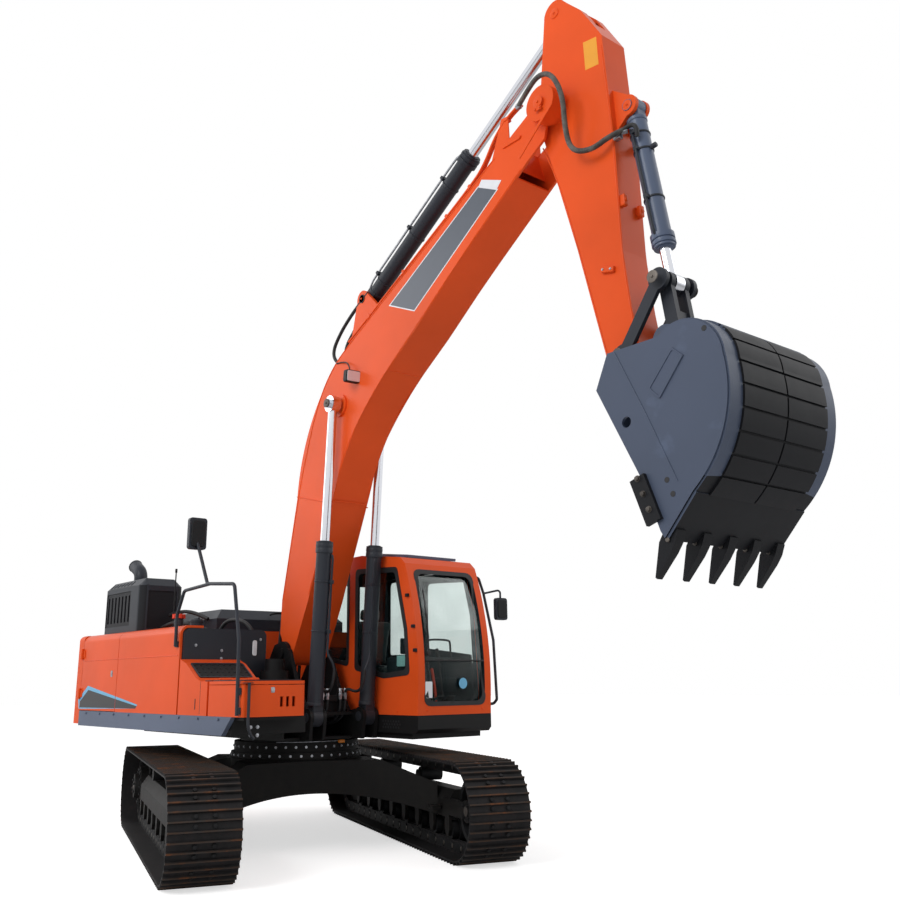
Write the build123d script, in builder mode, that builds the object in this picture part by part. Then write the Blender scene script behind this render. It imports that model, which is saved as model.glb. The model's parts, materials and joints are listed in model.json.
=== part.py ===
from build123d import *
from math import atan2, cos, degrees, hypot, pi, radians, sin
import os

# Crawler excavator, millimetres. The machine's own axes: X forward from the swing axis along
# the boom, Y to the left, Z up from the ground. The part's origin is on the ground under the
# middle of the whole machine, so the swing axis stands SWING_X from it. The undercarriage is
# turned by TRACK_TURN about the swing axis, as it is parked.

# Driving sizes of the undercarriage
SWING_X = -1527
TRACK_TURN = -17.8
GAUGE = 2600
TUMBLER_SPAN = 3960
TRACK_AXIS_Z = 450
SHOE_WIDTH = 600
SHOE_COUNT = 48
SHOE_PLATE = 12
GROUSER = 26
LINK_HEIGHT = 110
LINK_GAP = 100
LINK_THICK = 55
SEAT = 0.3
SHOE_BACK = TRACK_AXIS_Z - SHOE_PLATE - GROUSER
RAIL = SHOE_BACK - LINK_HEIGHT

FRAME_BOX_WIDTH = 300
FRAME_END_GAP = 450
FRAME_BOX_LENGTH = TUMBLER_SPAN - 2 * FRAME_END_GAP
FRAME_LAP = 120
FRAME_BOX_BOTTOM = 350
FRAME_BOX_SHOULDER = 500
FRAME_BOX_TOP = 600
FRAME_RIDGE_WIDTH = 150

ROLLER_TREAD = 86
ROLLER_FLANGE = 106
ROLLER_AXLE = 30
ROLLER_COUNT = 8
ROLLER_SPREAD = FRAME_BOX_LENGTH - 100
HANGER_THICK = 28
CARRIER_TREAD = 70
CARRIER_AXLE = 26
CARRIER_SPREAD = 1300

SPROCKET_TEETH = 21
SPROCKET_TIP = RAIL + 48
SPROCKET_ROOT = RAIL - 14
SPROCKET_THICK = 80
DRIVE_RADIUS = 225

DRUM_RADIUS = 690
CARBODY_TOP = 930
CARBODY_SHOULDER = 850
CARBODY_END_TOP = 640
CARBODY_END_BOTTOM = 345
CARBODY_ARCH = 540
RING_OUTER = 660
RING_BORE = 590
RING_HEIGHT = 105

# Driving sizes of the upper structure
HALF_WIDTH = 1450
TAIL_RADIUS = 3120
FRAME_BOTTOM = 1060
SKIRT_BOTTOM = 1156
DECK_TOP = 1325
DECK_PLATE = 30
DECK_REAR = -2600
DECK_FRONT = 1250
SIDE_TOP = 2200
COVER_WALL = 25
COVER_ROUND = 90
COVER_INBOARD = 1200
DOOR_INBOARD = 1352
DOOR_CLEAR = 6
PANEL_GAP = 10
PANEL_SEAM = -1500
TANK_FRONT = 120
CAB_RIGHT = 430
CAB_LEFT = 1410
CAB_WIDTH = CAB_LEFT - CAB_RIGHT
CAB_REAR = -320
CAB_FLOOR = 1292
CAB_WALL = 50
CAB_BASE_BOTTOM = 1117

# Pins of the working equipment, where they lie as the machine is parked (X, Z)
BOOM_FOOT = (95, 1931)
BOOM_TIP = (4320, 6510)
BOOM_CYLINDER_BASE = (850, 1280)
BOOM_CYLINDER_ROD = (1085, 4500)
ARM_CYLINDER_BASE = (1330, 5680)
ARM_CYLINDER_ROD = (4370, 7480)
BUCKET_CYLINDER_BASE = (5080, 6200)
ROCKER_PIN = (4950, 4040)
LINK_PIN = (5330, 4550)
BUCKET_PIN = (5010, 3620)
BUCKET_LINK_PIN = (5400, 4040)

BOOM_HALF = 220
BOOM_WALL = 20
FORK_INNER = 195
FORK_OUTER = 335
ARM_HALF = 145
ARM_WALL = 18
ARM_PIVOT_HALF = 185
BOOM_CYLINDER_Y = 318
BUCKET_HALF = 650
BUCKET_PLATE = 25
SIDE_GAP = 5


def side(y=0):
    """A sketch plane along the machine: sketch X forward, sketch Y up, normal to the right."""
    return Plane(origin=(SWING_X, y, 0), x_dir=(1, 0, 0), z_dir=(0, -1, 0))


def plan(z=0):
    """A level sketch plane: sketch X forward, sketch Y left."""
    return Plane(origin=(SWING_X, 0, z), x_dir=(1, 0, 0), z_dir=(0, 0, 1))


def across(x=0):
    """A sketch plane across the machine: sketch X left, sketch Y up, normal forward."""
    return Plane(origin=(SWING_X + x, 0, 0), x_dir=(0, 1, 0), z_dir=(1, 0, 0))


TURN_COS = cos(radians(TRACK_TURN))
TURN_SIN = sin(radians(TRACK_TURN))


def track_side(v=0, u=0, z=0):
    """A sketch plane along the tracks: sketch X along the track, sketch Y up."""
    origin = (SWING_X + u * TURN_COS - v * TURN_SIN, u * TURN_SIN + v * TURN_COS, z)
    return Plane(origin=origin, x_dir=(TURN_COS, TURN_SIN, 0), z_dir=(TURN_SIN, -TURN_COS, 0))


def track_plan(z=0):
    """A level sketch plane: sketch X along the tracks, sketch Y to their left."""
    return Plane(origin=(SWING_X, 0, z), x_dir=(TURN_COS, TURN_SIN, 0), z_dir=(0, 0, 1))


def track_across(u=0, v=0, z=0):
    """A sketch plane across the tracks: sketch X to their left, sketch Y up."""
    origin = (SWING_X + u * TURN_COS - v * TURN_SIN, u * TURN_SIN + v * TURN_COS, z)
    return Plane(origin=origin, x_dir=(-TURN_SIN, TURN_COS, 0), z_dir=(TURN_COS, TURN_SIN, 0))


def along(start, end, y=0):
    """A plane in the side view with its origin at one pin and sketch X towards another."""
    angle = atan2(end[1] - start[1], end[0] - start[0])
    x_dir = (cos(angle), 0, sin(angle))
    return Plane(origin=(SWING_X + start[0], y, start[1]), x_dir=x_dir, z_dir=(0, -1, 0))


def span(start, end):
    """The distance between two pins."""
    return hypot(end[0] - start[0], end[1] - start[1])


def rod_plane(start, end, distance=0, y=0):
    """A plane across the line from one pin to another, at a distance from the first."""
    angle = atan2(end[1] - start[1], end[0] - start[0])
    z_dir = (cos(angle), 0, sin(angle))
    origin = (SWING_X + start[0] + distance * cos(angle), y, start[1] + distance * sin(angle))
    return Plane(origin=origin, x_dir=(0, 1, 0), z_dir=z_dir)


def strap(plane, low, high, half):
    """A block on both sides of a plane, from one sketch corner to the opposite one."""
    with BuildPart() as bar:
        with BuildSketch(plane):
            with Locations(((low[0] + high[0]) / 2, (low[1] + high[1]) / 2)):
                Rectangle(high[0] - low[0], high[1] - low[1])
        extrude(amount=half, both=True)
    return bar.part


def tube(points, radius, bend):
    """A round bar along a line of points with rounded corners."""
    with BuildPart() as bar:
        with BuildLine() as path:
            FilletPolyline(*points, radius=bend)
        with BuildSketch(Plane(origin=path.line @ 0, z_dir=path.line % 0)):
            Circle(radius)
        sweep(path=path.line)
    return bar.part


def at(x, y, z):
    """A point given in the machine's own axes."""
    return (SWING_X + x, y, z)


# Hinges of doors and lids: a bored knuckle on the moving side, a pin between ears on the fixed side
HINGE_PIN = 8
KNUCKLE = 16
KNUCKLE_HALF = 40
HINGE_LEAF = 8
HINGE_EAR = 20
HINGE_REACH = 65


def knuckle(plane, low, high):
    """Moving half of a hinge about the plane's normal, with its leaf from corner to corner."""
    with BuildPart() as half:
        add(strap(plane, low, high, KNUCKLE_HALF))
        with BuildSketch(plane):
            Circle(KNUCKLE)
        extrude(amount=KNUCKLE_HALF, both=True)
        with BuildSketch(plane):
            Circle(HINGE_PIN + SEAT)
        extrude(amount=KNUCKLE_HALF, both=True, mode=Mode.SUBTRACT)
    return half.part


def hinge_pin(plane, low, high):
    """Fixed half of a hinge: a pin between two ears, each with its leaf from corner to corner."""
    with BuildPart() as half:
        with BuildSketch(plane):
            Circle(HINGE_PIN)
        extrude(amount=KNUCKLE_HALF + HINGE_EAR, both=True)
        for end in (-1, 1):
            ear = plane.offset(end * (KNUCKLE_HALF + SEAT + HINGE_EAR / 2))
            add(strap(ear, low, high, HINGE_EAR / 2))
            with BuildSketch(ear):
                Circle(KNUCKLE)
            extrude(amount=HINGE_EAR / 2, both=True)
    return half.part


def standing_hinge(x, face, z):
    """Plane of an upright hinge on a side face: sketch X forward, sketch Y away from the face."""
    sign = 1 if face > 0 else -1
    origin = (SWING_X + x, face + sign * KNUCKLE, z)
    return Plane(origin=origin, x_dir=(1, 0, 0), z_dir=(0, 0, sign))


# Track loop: one closed band of shoes with three grousers each, over two rows of links

STRAIGHT = TUMBLER_SPAN
TURN_LENGTH = pi * SHOE_BACK
SHOE_PITCH = 2 * (STRAIGHT + TURN_LENGTH) / SHOE_COUNT
GROUSER_PLACES = (1 / 6, 1 / 2, 5 / 6)
# Columns: distance from the grouser's middle as a share of the pitch, height over the plate
GROUSER_PROFILE = ((-0.055, 0), (-0.025, GROUSER), (0.025, GROUSER), (0.055, 0))


def loop_point(distance, height):
    """A point over the back of the shoes, by its distance round the loop."""
    radius = SHOE_BACK + height
    if distance < STRAIGHT:
        return (distance - STRAIGHT / 2, -radius)
    distance -= STRAIGHT
    if distance < TURN_LENGTH:
        angle = -pi / 2 + distance / SHOE_BACK
        return (STRAIGHT / 2 + radius * cos(angle), radius * sin(angle))
    distance -= TURN_LENGTH
    if distance < STRAIGHT:
        return (STRAIGHT / 2 - distance, radius)
    angle = pi / 2 + (distance - STRAIGHT) / SHOE_BACK
    return (-STRAIGHT / 2 + radius * cos(angle), radius * sin(angle))


shoe_outline = [
    loop_point((shoe + place + step) * SHOE_PITCH, SHOE_PLATE + rise)
    for shoe in range(SHOE_COUNT)
    for place in GROUSER_PLACES
    for step, rise in GROUSER_PROFILE
]

tracks = {}
for name, v in (("track_left", GAUGE / 2), ("track_right", -GAUGE / 2)):
    with BuildPart() as track:
        with BuildSketch(track_side(v, 0, TRACK_AXIS_Z)):
            with BuildLine():
                Polyline(*shoe_outline, close=True)
            make_face()
            SlotCenterToCenter(STRAIGHT, 2 * SHOE_BACK, mode=Mode.SUBTRACT)
        extrude(amount=SHOE_WIDTH / 2, both=True)
        for row in (-1, 1):
            with BuildSketch(track_side(v + row * (LINK_GAP + LINK_THICK) / 2, 0, TRACK_AXIS_Z)):
                SlotCenterToCenter(STRAIGHT, 2 * SHOE_BACK)
                SlotCenterToCenter(STRAIGHT, 2 * RAIL, mode=Mode.SUBTRACT)
            extrude(amount=LINK_THICK / 2, both=True)
    tracks[name] = track

# Wheels of the tracks

LOWER_ROLLER_Z = TRACK_AXIS_Z - RAIL + SEAT + ROLLER_TREAD
CARRIER_Z = TRACK_AXIS_Z + RAIL - SEAT - CARRIER_TREAD
ROLLER_WIDTH = LINK_GAP + 2 * LINK_THICK + 20
HANGER_GAP = 4
ROLLER_STEP = ROLLER_SPREAD / (ROLLER_COUNT - 1)

with BuildPart() as track_rollers:
    for v in (-GAUGE / 2, GAUGE / 2):
        for count in range(ROLLER_COUNT):
            u = -ROLLER_SPREAD / 2 + count * ROLLER_STEP
            with BuildSketch(track_side(v, u, LOWER_ROLLER_Z)):
                Circle(ROLLER_TREAD)
            extrude(amount=ROLLER_WIDTH / 2, both=True)
            with BuildSketch(track_side(v, u, LOWER_ROLLER_Z)):
                Circle(ROLLER_FLANGE)
            extrude(amount=LINK_GAP / 2 - 4, both=True)
            with BuildSketch(track_side(v, u, LOWER_ROLLER_Z)):
                Circle(ROLLER_AXLE)
            extrude(amount=ROLLER_WIDTH / 2 + HANGER_GAP - SEAT, both=True)

    for v, inward in ((-GAUGE / 2, 1), (GAUGE / 2, -1)):
        for u in (-CARRIER_SPREAD / 2, CARRIER_SPREAD / 2):
            with BuildSketch(track_side(v, u, CARRIER_Z)):
                Circle(CARRIER_TREAD)
            extrude(amount=ROLLER_WIDTH / 2, both=True)
            with BuildSketch(track_side(v, u, CARRIER_Z)):
                Circle(CARRIER_AXLE)
            extrude(amount=-inward * (ROLLER_WIDTH / 2 + 34))

IDLER_HUB = 95
IDLER_WEB = 24
# Columns: distance from the wheel's middle plane, radius
idler_profile = (
    (0, 40), (105, 40), (105, IDLER_HUB), (IDLER_WEB, IDLER_HUB + 30), (IDLER_WEB, RAIL - 60),
    (98, RAIL - 50), (98, RAIL - SEAT), (LINK_GAP / 2 - 4, RAIL - SEAT),
    (LINK_GAP / 2 - 8, RAIL + 18), (0, RAIL + 18),
)
IDLER_AXLE = 50
YOKE_INNER = 120

with BuildPart() as idlers:
    for v in (-GAUGE / 2, GAUGE / 2):
        hub_plane = track_side(v, TUMBLER_SPAN / 2, TRACK_AXIS_Z)
        with BuildSketch(Plane(origin=hub_plane.origin, x_dir=hub_plane.z_dir, z_dir=hub_plane.x_dir)):
            with BuildLine():
                Polyline(*idler_profile, close=True)
            make_face()
            mirror(about=Plane.YZ)
        revolve(axis=Axis(hub_plane.origin, hub_plane.z_dir), revolution_arc=360)
        with BuildSketch(hub_plane):
            Circle(IDLER_AXLE)
        extrude(amount=YOKE_INNER + 40, both=True)

tooth_step = 2 * pi / SPROCKET_TEETH
# Columns: place as a share of the tooth's pitch, radius
SPROCKET_PROFILE = ((-0.30, SPROCKET_ROOT), (-0.12, SPROCKET_TIP), (0.12, SPROCKET_TIP), (0.30, SPROCKET_ROOT))
sprocket_outline = [
    (radius * cos((tooth + share) * tooth_step), radius * sin((tooth + share) * tooth_step))
    for tooth in range(SPROCKET_TEETH)
    for share, radius in SPROCKET_PROFILE
]

DRIVE_COVER = 150
with BuildPart() as final_drives:
    for v, outward in ((-GAUGE / 2, 1), (GAUGE / 2, -1)):
        with BuildSketch(track_side(v, -TUMBLER_SPAN / 2, TRACK_AXIS_Z)):
            with BuildLine():
                Polyline(*sprocket_outline, close=True)
            make_face()
        extrude(amount=SPROCKET_THICK / 2, both=True)
        start = SPROCKET_THICK / 2
        face = track_side(v - outward * start, -TUMBLER_SPAN / 2, TRACK_AXIS_Z)
        with BuildSketch(face):
            Circle(DRIVE_RADIUS)
        extrude(amount=outward * 90, taper=6)
        with BuildSketch(face.offset(outward * 90)):
            Circle(DRIVE_COVER)
        extrude(amount=outward * 60, taper=15)
        inner = track_side(v + outward * start, -TUMBLER_SPAN / 2, TRACK_AXIS_Z)
        with BuildSketch(inner):
            Circle(DRIVE_COVER)
        extrude(amount=-outward * 130)
        with BuildSketch(inner.offset(-outward * 130)):
            RectangleRounded(200, 170, 30)
        extrude(amount=-outward * 90)

# Track frames: a sloped box beam with roller hangers, idler yoke and drive bracket

YOKE_THICK = 35
HANGER_HALF = 55
LASHING_PLACE = FRAME_BOX_LENGTH / 2 - 210
LASHING_Z = 430
LASHING_REACH = 130
LASHING_LENGTH = 130
LASHING_HOLE = 32
LASHING_THICK = 32
BRACKET_THICK = 40
with BuildPart() as track_frames:
    for v, inward in ((GAUGE / 2, -1), (-GAUGE / 2, 1)):
        with BuildSketch(track_across(0, v, 0)):
            with BuildLine():
                Polyline(
                    (-FRAME_BOX_WIDTH / 2, FRAME_BOX_BOTTOM),
                    (FRAME_BOX_WIDTH / 2, FRAME_BOX_BOTTOM),
                    (FRAME_BOX_WIDTH / 2, FRAME_BOX_SHOULDER),
                    (FRAME_RIDGE_WIDTH / 2, FRAME_BOX_TOP),
                    (-FRAME_RIDGE_WIDTH / 2, FRAME_BOX_TOP),
                    (-FRAME_BOX_WIDTH / 2, FRAME_BOX_SHOULDER),
                    close=True,
                )
            make_face()
        extrude(amount=FRAME_BOX_LENGTH / 2, both=True)
        for count in range(ROLLER_COUNT):
            u = -ROLLER_SPREAD / 2 + count * ROLLER_STEP
            for end in (-1, 1):
                hanger_v = v + end * (ROLLER_WIDTH / 2 + HANGER_GAP + HANGER_THICK / 2)
                hanger_top = FRAME_BOX_BOTTOM - LOWER_ROLLER_Z + 1
                with BuildSketch(track_side(hanger_v, u, LOWER_ROLLER_Z)):
                    with BuildLine():
                        Polyline(
                            (-HANGER_HALF, hanger_top), (-HANGER_HALF, 0), (-HANGER_HALF / 2, -HANGER_HALF),
                            (HANGER_HALF / 2, -HANGER_HALF), (HANGER_HALF, 0), (HANGER_HALF, hanger_top),
                            close=True,
                        )
                    make_face()
                extrude(amount=HANGER_THICK / 2, both=True)
        for end in (-1, 1):
            yoke_v = v + end * (YOKE_INNER + YOKE_THICK / 2)
            with BuildSketch(track_side(yoke_v, TUMBLER_SPAN / 2, TRACK_AXIS_Z)):
                with Locations((-(FRAME_END_GAP + FRAME_LAP) / 2, 0)):
                    Rectangle(FRAME_END_GAP + FRAME_LAP, 150)
                Circle(100)
                Circle(IDLER_AXLE + SEAT, mode=Mode.SUBTRACT)
            extrude(amount=YOKE_THICK / 2, both=True)
        bracket_v = v + inward * (DRIVE_COVER - 12)
        with BuildSketch(track_side(bracket_v, -TUMBLER_SPAN / 2, TRACK_AXIS_Z)):
            with Locations(((FRAME_END_GAP + FRAME_LAP) / 2, 0)):
                Rectangle(FRAME_END_GAP + FRAME_LAP, 230)
            Circle(DRIVE_COVER + 55)
            Circle(DRIVE_COVER + SEAT, mode=Mode.SUBTRACT)
        extrude(amount=BRACKET_THICK / 2, both=True)
        for u in (-LASHING_PLACE, LASHING_PLACE):
            with BuildSketch(track_plan(LASHING_Z - LASHING_THICK / 2)):
                with Locations((u, v + inward * (FRAME_BOX_WIDTH / 2 + SEAT + LASHING_REACH / 2))):
                    RectangleRounded(LASHING_LENGTH, LASHING_REACH, 30)
                    Circle(LASHING_HOLE, mode=Mode.SUBTRACT)
            extrude(amount=LASHING_THICK)
        for u in (-CARRIER_SPREAD / 2, CARRIER_SPREAD / 2):
            post_v = v + inward * (ROLLER_WIDTH / 2 + 20)
            post_foot = FRAME_BOX_SHOULDER - 20
            with BuildSketch(track_side(post_v, u, CARRIER_Z)):
                with Locations((0, (post_foot - CARRIER_Z) / 2)):
                    Rectangle(90, CARRIER_Z - post_foot)
                Circle(45)
                Circle(CARRIER_AXLE + SEAT, mode=Mode.SUBTRACT)
            extrude(amount=14, both=True)

# Car body: four curved legs under a drum that carries the slewing ring

LEG_REACH = GAUGE / 2 - FRAME_BOX_WIDTH / 2 - SEAT
LEG_FRONT = 1240
LEG_REAR = 760
LEG_WAIST_U = 720
LEG_WAIST_V = 640

with BuildPart() as car_body:
    with BuildSketch(track_across()):
        with BuildLine():
            Polyline(
                (-LEG_REACH, CARBODY_END_BOTTOM), (-LEG_REACH, CARBODY_END_TOP),
                (-DRUM_RADIUS, CARBODY_SHOULDER), (DRUM_RADIUS, CARBODY_SHOULDER),
                (LEG_REACH, CARBODY_END_TOP), (LEG_REACH, CARBODY_END_BOTTOM),
            )
            ThreePointArc(
                (LEG_REACH, CARBODY_END_BOTTOM), (0, CARBODY_ARCH), (-LEG_REACH, CARBODY_END_BOTTOM)
            )
        make_face()
    extrude(amount=LEG_FRONT, both=True)
    with BuildSketch(track_plan(CARBODY_END_BOTTOM)):
        with BuildLine():
            for end in (1, -1):
                ThreePointArc(
                    (end * LEG_FRONT, -end * LEG_REACH), (end * LEG_WAIST_U, 0),
                    (end * LEG_FRONT, end * LEG_REACH),
                )
                Line((end * LEG_FRONT, end * LEG_REACH), (end * LEG_REAR, end * LEG_REACH))
                ThreePointArc(
                    (end * LEG_REAR, end * LEG_REACH), (0, end * LEG_WAIST_V),
                    (-end * LEG_REAR, end * LEG_REACH),
                )
                Line((-end * LEG_REAR, end * LEG_REACH), (-end * LEG_FRONT, end * LEG_REACH))
        make_face()
    extrude(amount=CARBODY_TOP - CARBODY_END_BOTTOM, mode=Mode.INTERSECT)
    with BuildSketch(plan(CARBODY_SHOULDER - 200)):
        Circle(DRUM_RADIUS)
    extrude(amount=CARBODY_TOP - CARBODY_SHOULDER + 200)
    with BuildSketch(plan(CARBODY_END_BOTTOM)):
        Circle(RING_BORE - 120)
    extrude(amount=CARBODY_TOP - CARBODY_END_BOTTOM, mode=Mode.SUBTRACT)
    with BuildSketch(plan(CARBODY_TOP)):
        Circle(RING_OUTER)
        Circle(RING_BORE + SEAT, mode=Mode.SUBTRACT)
    extrude(amount=RING_HEIGHT)

# Revolving frame with the boom brackets

INNER_RING_BOTTOM = CARBODY_TOP + 15
BRACKET_INNER = BOOM_HALF + 10
BRACKET_PLATE = 45
FOOT_BOSS = 125
FOOT_PIN = 55
MAIN_BEAM_HALF = 620
BEAM_PLATE = 25
BASE_EYE = 90
BASE_PIN = 48
BASE_EYE_HALF = 55
LUG_THICK = 35
NOSE_FRONT = 740
RIGHT_DECK_FRONT = 1400
CAB_DECK_EDGE = CAB_RIGHT - 30
SKIRT_THICK = 45
DECK_EDGE = HALF_WIDTH - SKIRT_THICK - SEAT
# Columns: place along the machine of each cross beam under the deck, whether it is on the left too
CROSS_BEAMS = ((-2450, True), (-1500, True), (-640, True), (250, False), (1150, False))
CAB_BEAM_FRONT = 1450
CAB_BEAM = 70

with BuildPart() as revolving_frame:
    with BuildSketch(plan(INNER_RING_BOTTOM)):
        Circle(RING_BORE)
        Circle(RING_BORE - 90, mode=Mode.SUBTRACT)
    extrude(amount=FRAME_BOTTOM - INNER_RING_BOTTOM)
    with BuildSketch(plan(FRAME_BOTTOM)):
        with Locations(((DECK_REAR + NOSE_FRONT) / 2, 0)):
            Rectangle(NOSE_FRONT - DECK_REAR, 2 * MAIN_BEAM_HALF)
    extrude(amount=BEAM_PLATE)
    # Columns: outer face of each long web, its front end
    webs = (
        (-BRACKET_INNER - BRACKET_PLATE, NOSE_FRONT), (BRACKET_INNER + BRACKET_PLATE, NOSE_FRONT),
        (-MAIN_BEAM_HALF, NOSE_FRONT), (MAIN_BEAM_HALF, CAB_REAR - DECK_PLATE),
    )
    for y, front in webs:
        inward = -1 if y > 0 else 1
        with BuildSketch(side(y)):
            with Locations(((DECK_REAR + front) / 2, (FRAME_BOTTOM + DECK_TOP) / 2)):
                Rectangle(front - DECK_REAR, DECK_TOP - FRAME_BOTTOM)
        extrude(amount=-inward * BEAM_PLATE)
    with BuildSketch(plan(DECK_TOP - DECK_PLATE)):
        with BuildLine():
            Polyline(
                (DECK_REAR, -DECK_EDGE), (RIGHT_DECK_FRONT, -DECK_EDGE),
                (RIGHT_DECK_FRONT, -MAIN_BEAM_HALF - 150), (NOSE_FRONT, -MAIN_BEAM_HALF + 60),
                (NOSE_FRONT, CAB_DECK_EDGE), (CAB_REAR - DECK_PLATE, CAB_DECK_EDGE),
                (CAB_REAR - DECK_PLATE, DECK_EDGE), (DECK_REAR, DECK_EDGE),
                close=True,
            )
        make_face()
    extrude(amount=DECK_PLATE)
    for x, both_sides in CROSS_BEAMS:
        for sign in (-1, 1) if both_sides else (-1,):
            with BuildSketch(across(x)):
                with Locations((sign * (MAIN_BEAM_HALF + DECK_EDGE) / 2, (SKIRT_BOTTOM + DECK_TOP) / 2)):
                    Rectangle(DECK_EDGE - MAIN_BEAM_HALF, DECK_TOP - SKIRT_BOTTOM - DECK_PLATE / 2)
            extrude(amount=BEAM_PLATE)
    with BuildSketch(plan(FRAME_BOTTOM)):
        with Locations(((CAB_REAR + CAB_BEAM_FRONT) / 2, CAB_LEFT - CAB_BEAM)):
            Rectangle(CAB_BEAM_FRONT - CAB_REAR, CAB_BEAM)
        for x in (CAB_REAR + CAB_BEAM / 2, (CAB_REAR + NOSE_FRONT) / 2, NOSE_FRONT - CAB_BEAM / 2):
            with Locations((x, (MAIN_BEAM_HALF + CAB_LEFT - CAB_BEAM) / 2)):
                Rectangle(CAB_BEAM, CAB_LEFT - CAB_BEAM - MAIN_BEAM_HALF)
        with Locations((CAB_BEAM_FRONT - CAB_BEAM / 2, (CAB_RIGHT + CAB_LEFT) / 2)):
            Rectangle(CAB_BEAM, CAB_WIDTH - CAB_BEAM)
        with Locations(((NOSE_FRONT + CAB_BEAM_FRONT) / 2, CAB_RIGHT + CAB_BEAM)):
            Rectangle(CAB_BEAM_FRONT - NOSE_FRONT, CAB_BEAM)
    extrude(amount=CAB_BASE_BOTTOM - SEAT - FRAME_BOTTOM)
    for sign in (-1, 1):
        with BuildSketch(side(sign * (BRACKET_INNER + BRACKET_PLATE / 2))):
            with BuildLine():
                Polyline(
                    (-560, DECK_TOP - 5), (-60, BOOM_FOOT[1] + 90), (BOOM_FOOT[0], BOOM_FOOT[1] + FOOT_BOSS),
                    (240, BOOM_FOOT[1] + 30), (420, 1600), (640, DECK_TOP - 5), close=True,
                )
            make_face()
            with Locations(BOOM_FOOT):
                Circle(FOOT_BOSS)
        extrude(amount=BRACKET_PLATE / 2, both=True)
        for edge in (-1, 1):
            lug_y = sign * BOOM_CYLINDER_Y + edge * (BASE_EYE_HALF + SIDE_GAP + LUG_THICK / 2)
            with BuildSketch(side(lug_y)):
                with BuildLine():
                    Polyline(
                        (BOOM_CYLINDER_BASE[0] - 330, FRAME_BOTTOM), (BOOM_CYLINDER_BASE[0] - 250, DECK_TOP - 5),
                        (BOOM_CYLINDER_BASE[0] - 40, BOOM_CYLINDER_BASE[1] + 80),
                        (BOOM_CYLINDER_BASE[0] + 90, BOOM_CYLINDER_BASE[1]),
                        (BOOM_CYLINDER_BASE[0] + 60, FRAME_BOTTOM), close=True,
                    )
                make_face()
                with Locations(BOOM_CYLINDER_BASE):
                    Circle(BASE_EYE)
                    Circle(BASE_PIN + SEAT, mode=Mode.SUBTRACT)
            extrude(amount=LUG_THICK / 2, both=True)
    with BuildSketch(side()):
        with Locations(BOOM_FOOT):
            Circle(FOOT_PIN)
    extrude(amount=BRACKET_INNER + BRACKET_PLATE + 20, both=True)

# Side skirts below the covers
SKIRT_FRONT = 1250
SKIRT_CHAMFER = 180
with BuildPart() as side_skirts:
    for sign, front in ((-1, SKIRT_FRONT), (1, CAB_REAR - 60)):
        with BuildSketch(side(sign * (HALF_WIDTH - SKIRT_THICK / 2))):
            with BuildLine():
                Polyline(
                    (DECK_REAR, SKIRT_BOTTOM), (DECK_REAR, DECK_TOP - SEAT), (front, DECK_TOP - SEAT),
                    (front - SKIRT_CHAMFER, SKIRT_BOTTOM), close=True,
                )
            make_face()
        extrude(amount=SKIRT_THICK / 2, both=True)

# Counterweight: the tail follows a circle about the swing axis
WEIGHT_FRONT = DECK_REAR - SEAT
WEIGHT_BOTTOM = SKIRT_BOTTOM + 20
TAIL_CORNER = -(TAIL_RADIUS**2 - HALF_WIDTH**2) ** 0.5
WEIGHT_EDGE = 60
COVER_HINGES = (1520, 1980)
with BuildPart() as counterweight:
    with BuildSketch(plan(WEIGHT_BOTTOM)):
        with BuildLine():
            Line((TAIL_CORNER, HALF_WIDTH), (WEIGHT_FRONT, HALF_WIDTH))
            Line((WEIGHT_FRONT, HALF_WIDTH), (WEIGHT_FRONT, -HALF_WIDTH))
            Line((WEIGHT_FRONT, -HALF_WIDTH), (TAIL_CORNER, -HALF_WIDTH))
            ThreePointArc((TAIL_CORNER, -HALF_WIDTH), (-TAIL_RADIUS, 0), (TAIL_CORNER, HALF_WIDTH))
        make_face()
    extrude(amount=SIDE_TOP - WEIGHT_BOTTOM)
    fillet(counterweight.faces().sort_by(Axis.Z)[-1].edges().sort_by(Axis.X)[:3], WEIGHT_EDGE)
    for z in COVER_HINGES:
        for sign in (-1, 1):
            hinge = standing_hinge(DECK_REAR, sign * HALF_WIDTH, z)
            add(hinge_pin(hinge, (-HINGE_REACH, -KNUCKLE), (0, HINGE_LEAF - KNUCKLE)))

# Covers of the upper structure: an upright wall that rounds over into a strip of roof
COVER_BOTTOM = DECK_TOP + SEAT


def cover_section(sign, bottom, inboard):
    """Line of a side cover seen from the front, for the left or the right side."""
    walls = []
    for inset in (0, COVER_WALL):
        wall = HALF_WIDTH - inset
        top = SIDE_TOP - inset
        bend = COVER_ROUND - inset
        lean = bend * (1 - cos(pi / 4))
        walls.append((wall, top, bend, lean))
    (wall, top, bend, lean), (wall_in, top_in, bend_in, lean_in) = walls
    Line((sign * wall, bottom), (sign * wall, top - bend))
    ThreePointArc(
        (sign * wall, top - bend), (sign * (wall - lean), top - lean), (sign * (wall - bend), top)
    )
    Line((sign * (wall - bend), top), (sign * inboard, top))
    Line((sign * inboard, top), (sign * inboard, top_in))
    Line((sign * inboard, top_in), (sign * (wall_in - bend_in), top_in))
    ThreePointArc(
        (sign * (wall_in - bend_in), top_in), (sign * (wall_in - lean_in), top_in - lean_in),
        (sign * wall_in, top_in - bend_in),
    )
    Line((sign * wall_in, top_in - bend_in), (sign * wall_in, bottom))
    Line((sign * wall_in, bottom), (sign * wall, bottom))


DOOR_BOTTOM = DECK_TOP + DOOR_CLEAR
COVER_DOOR_REAR = DECK_REAR + DOOR_CLEAR
RIGHT_COVER_FRONT = TANK_FRONT - 30
LEFT_COVER_FRONT = CAB_REAR - 60
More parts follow.
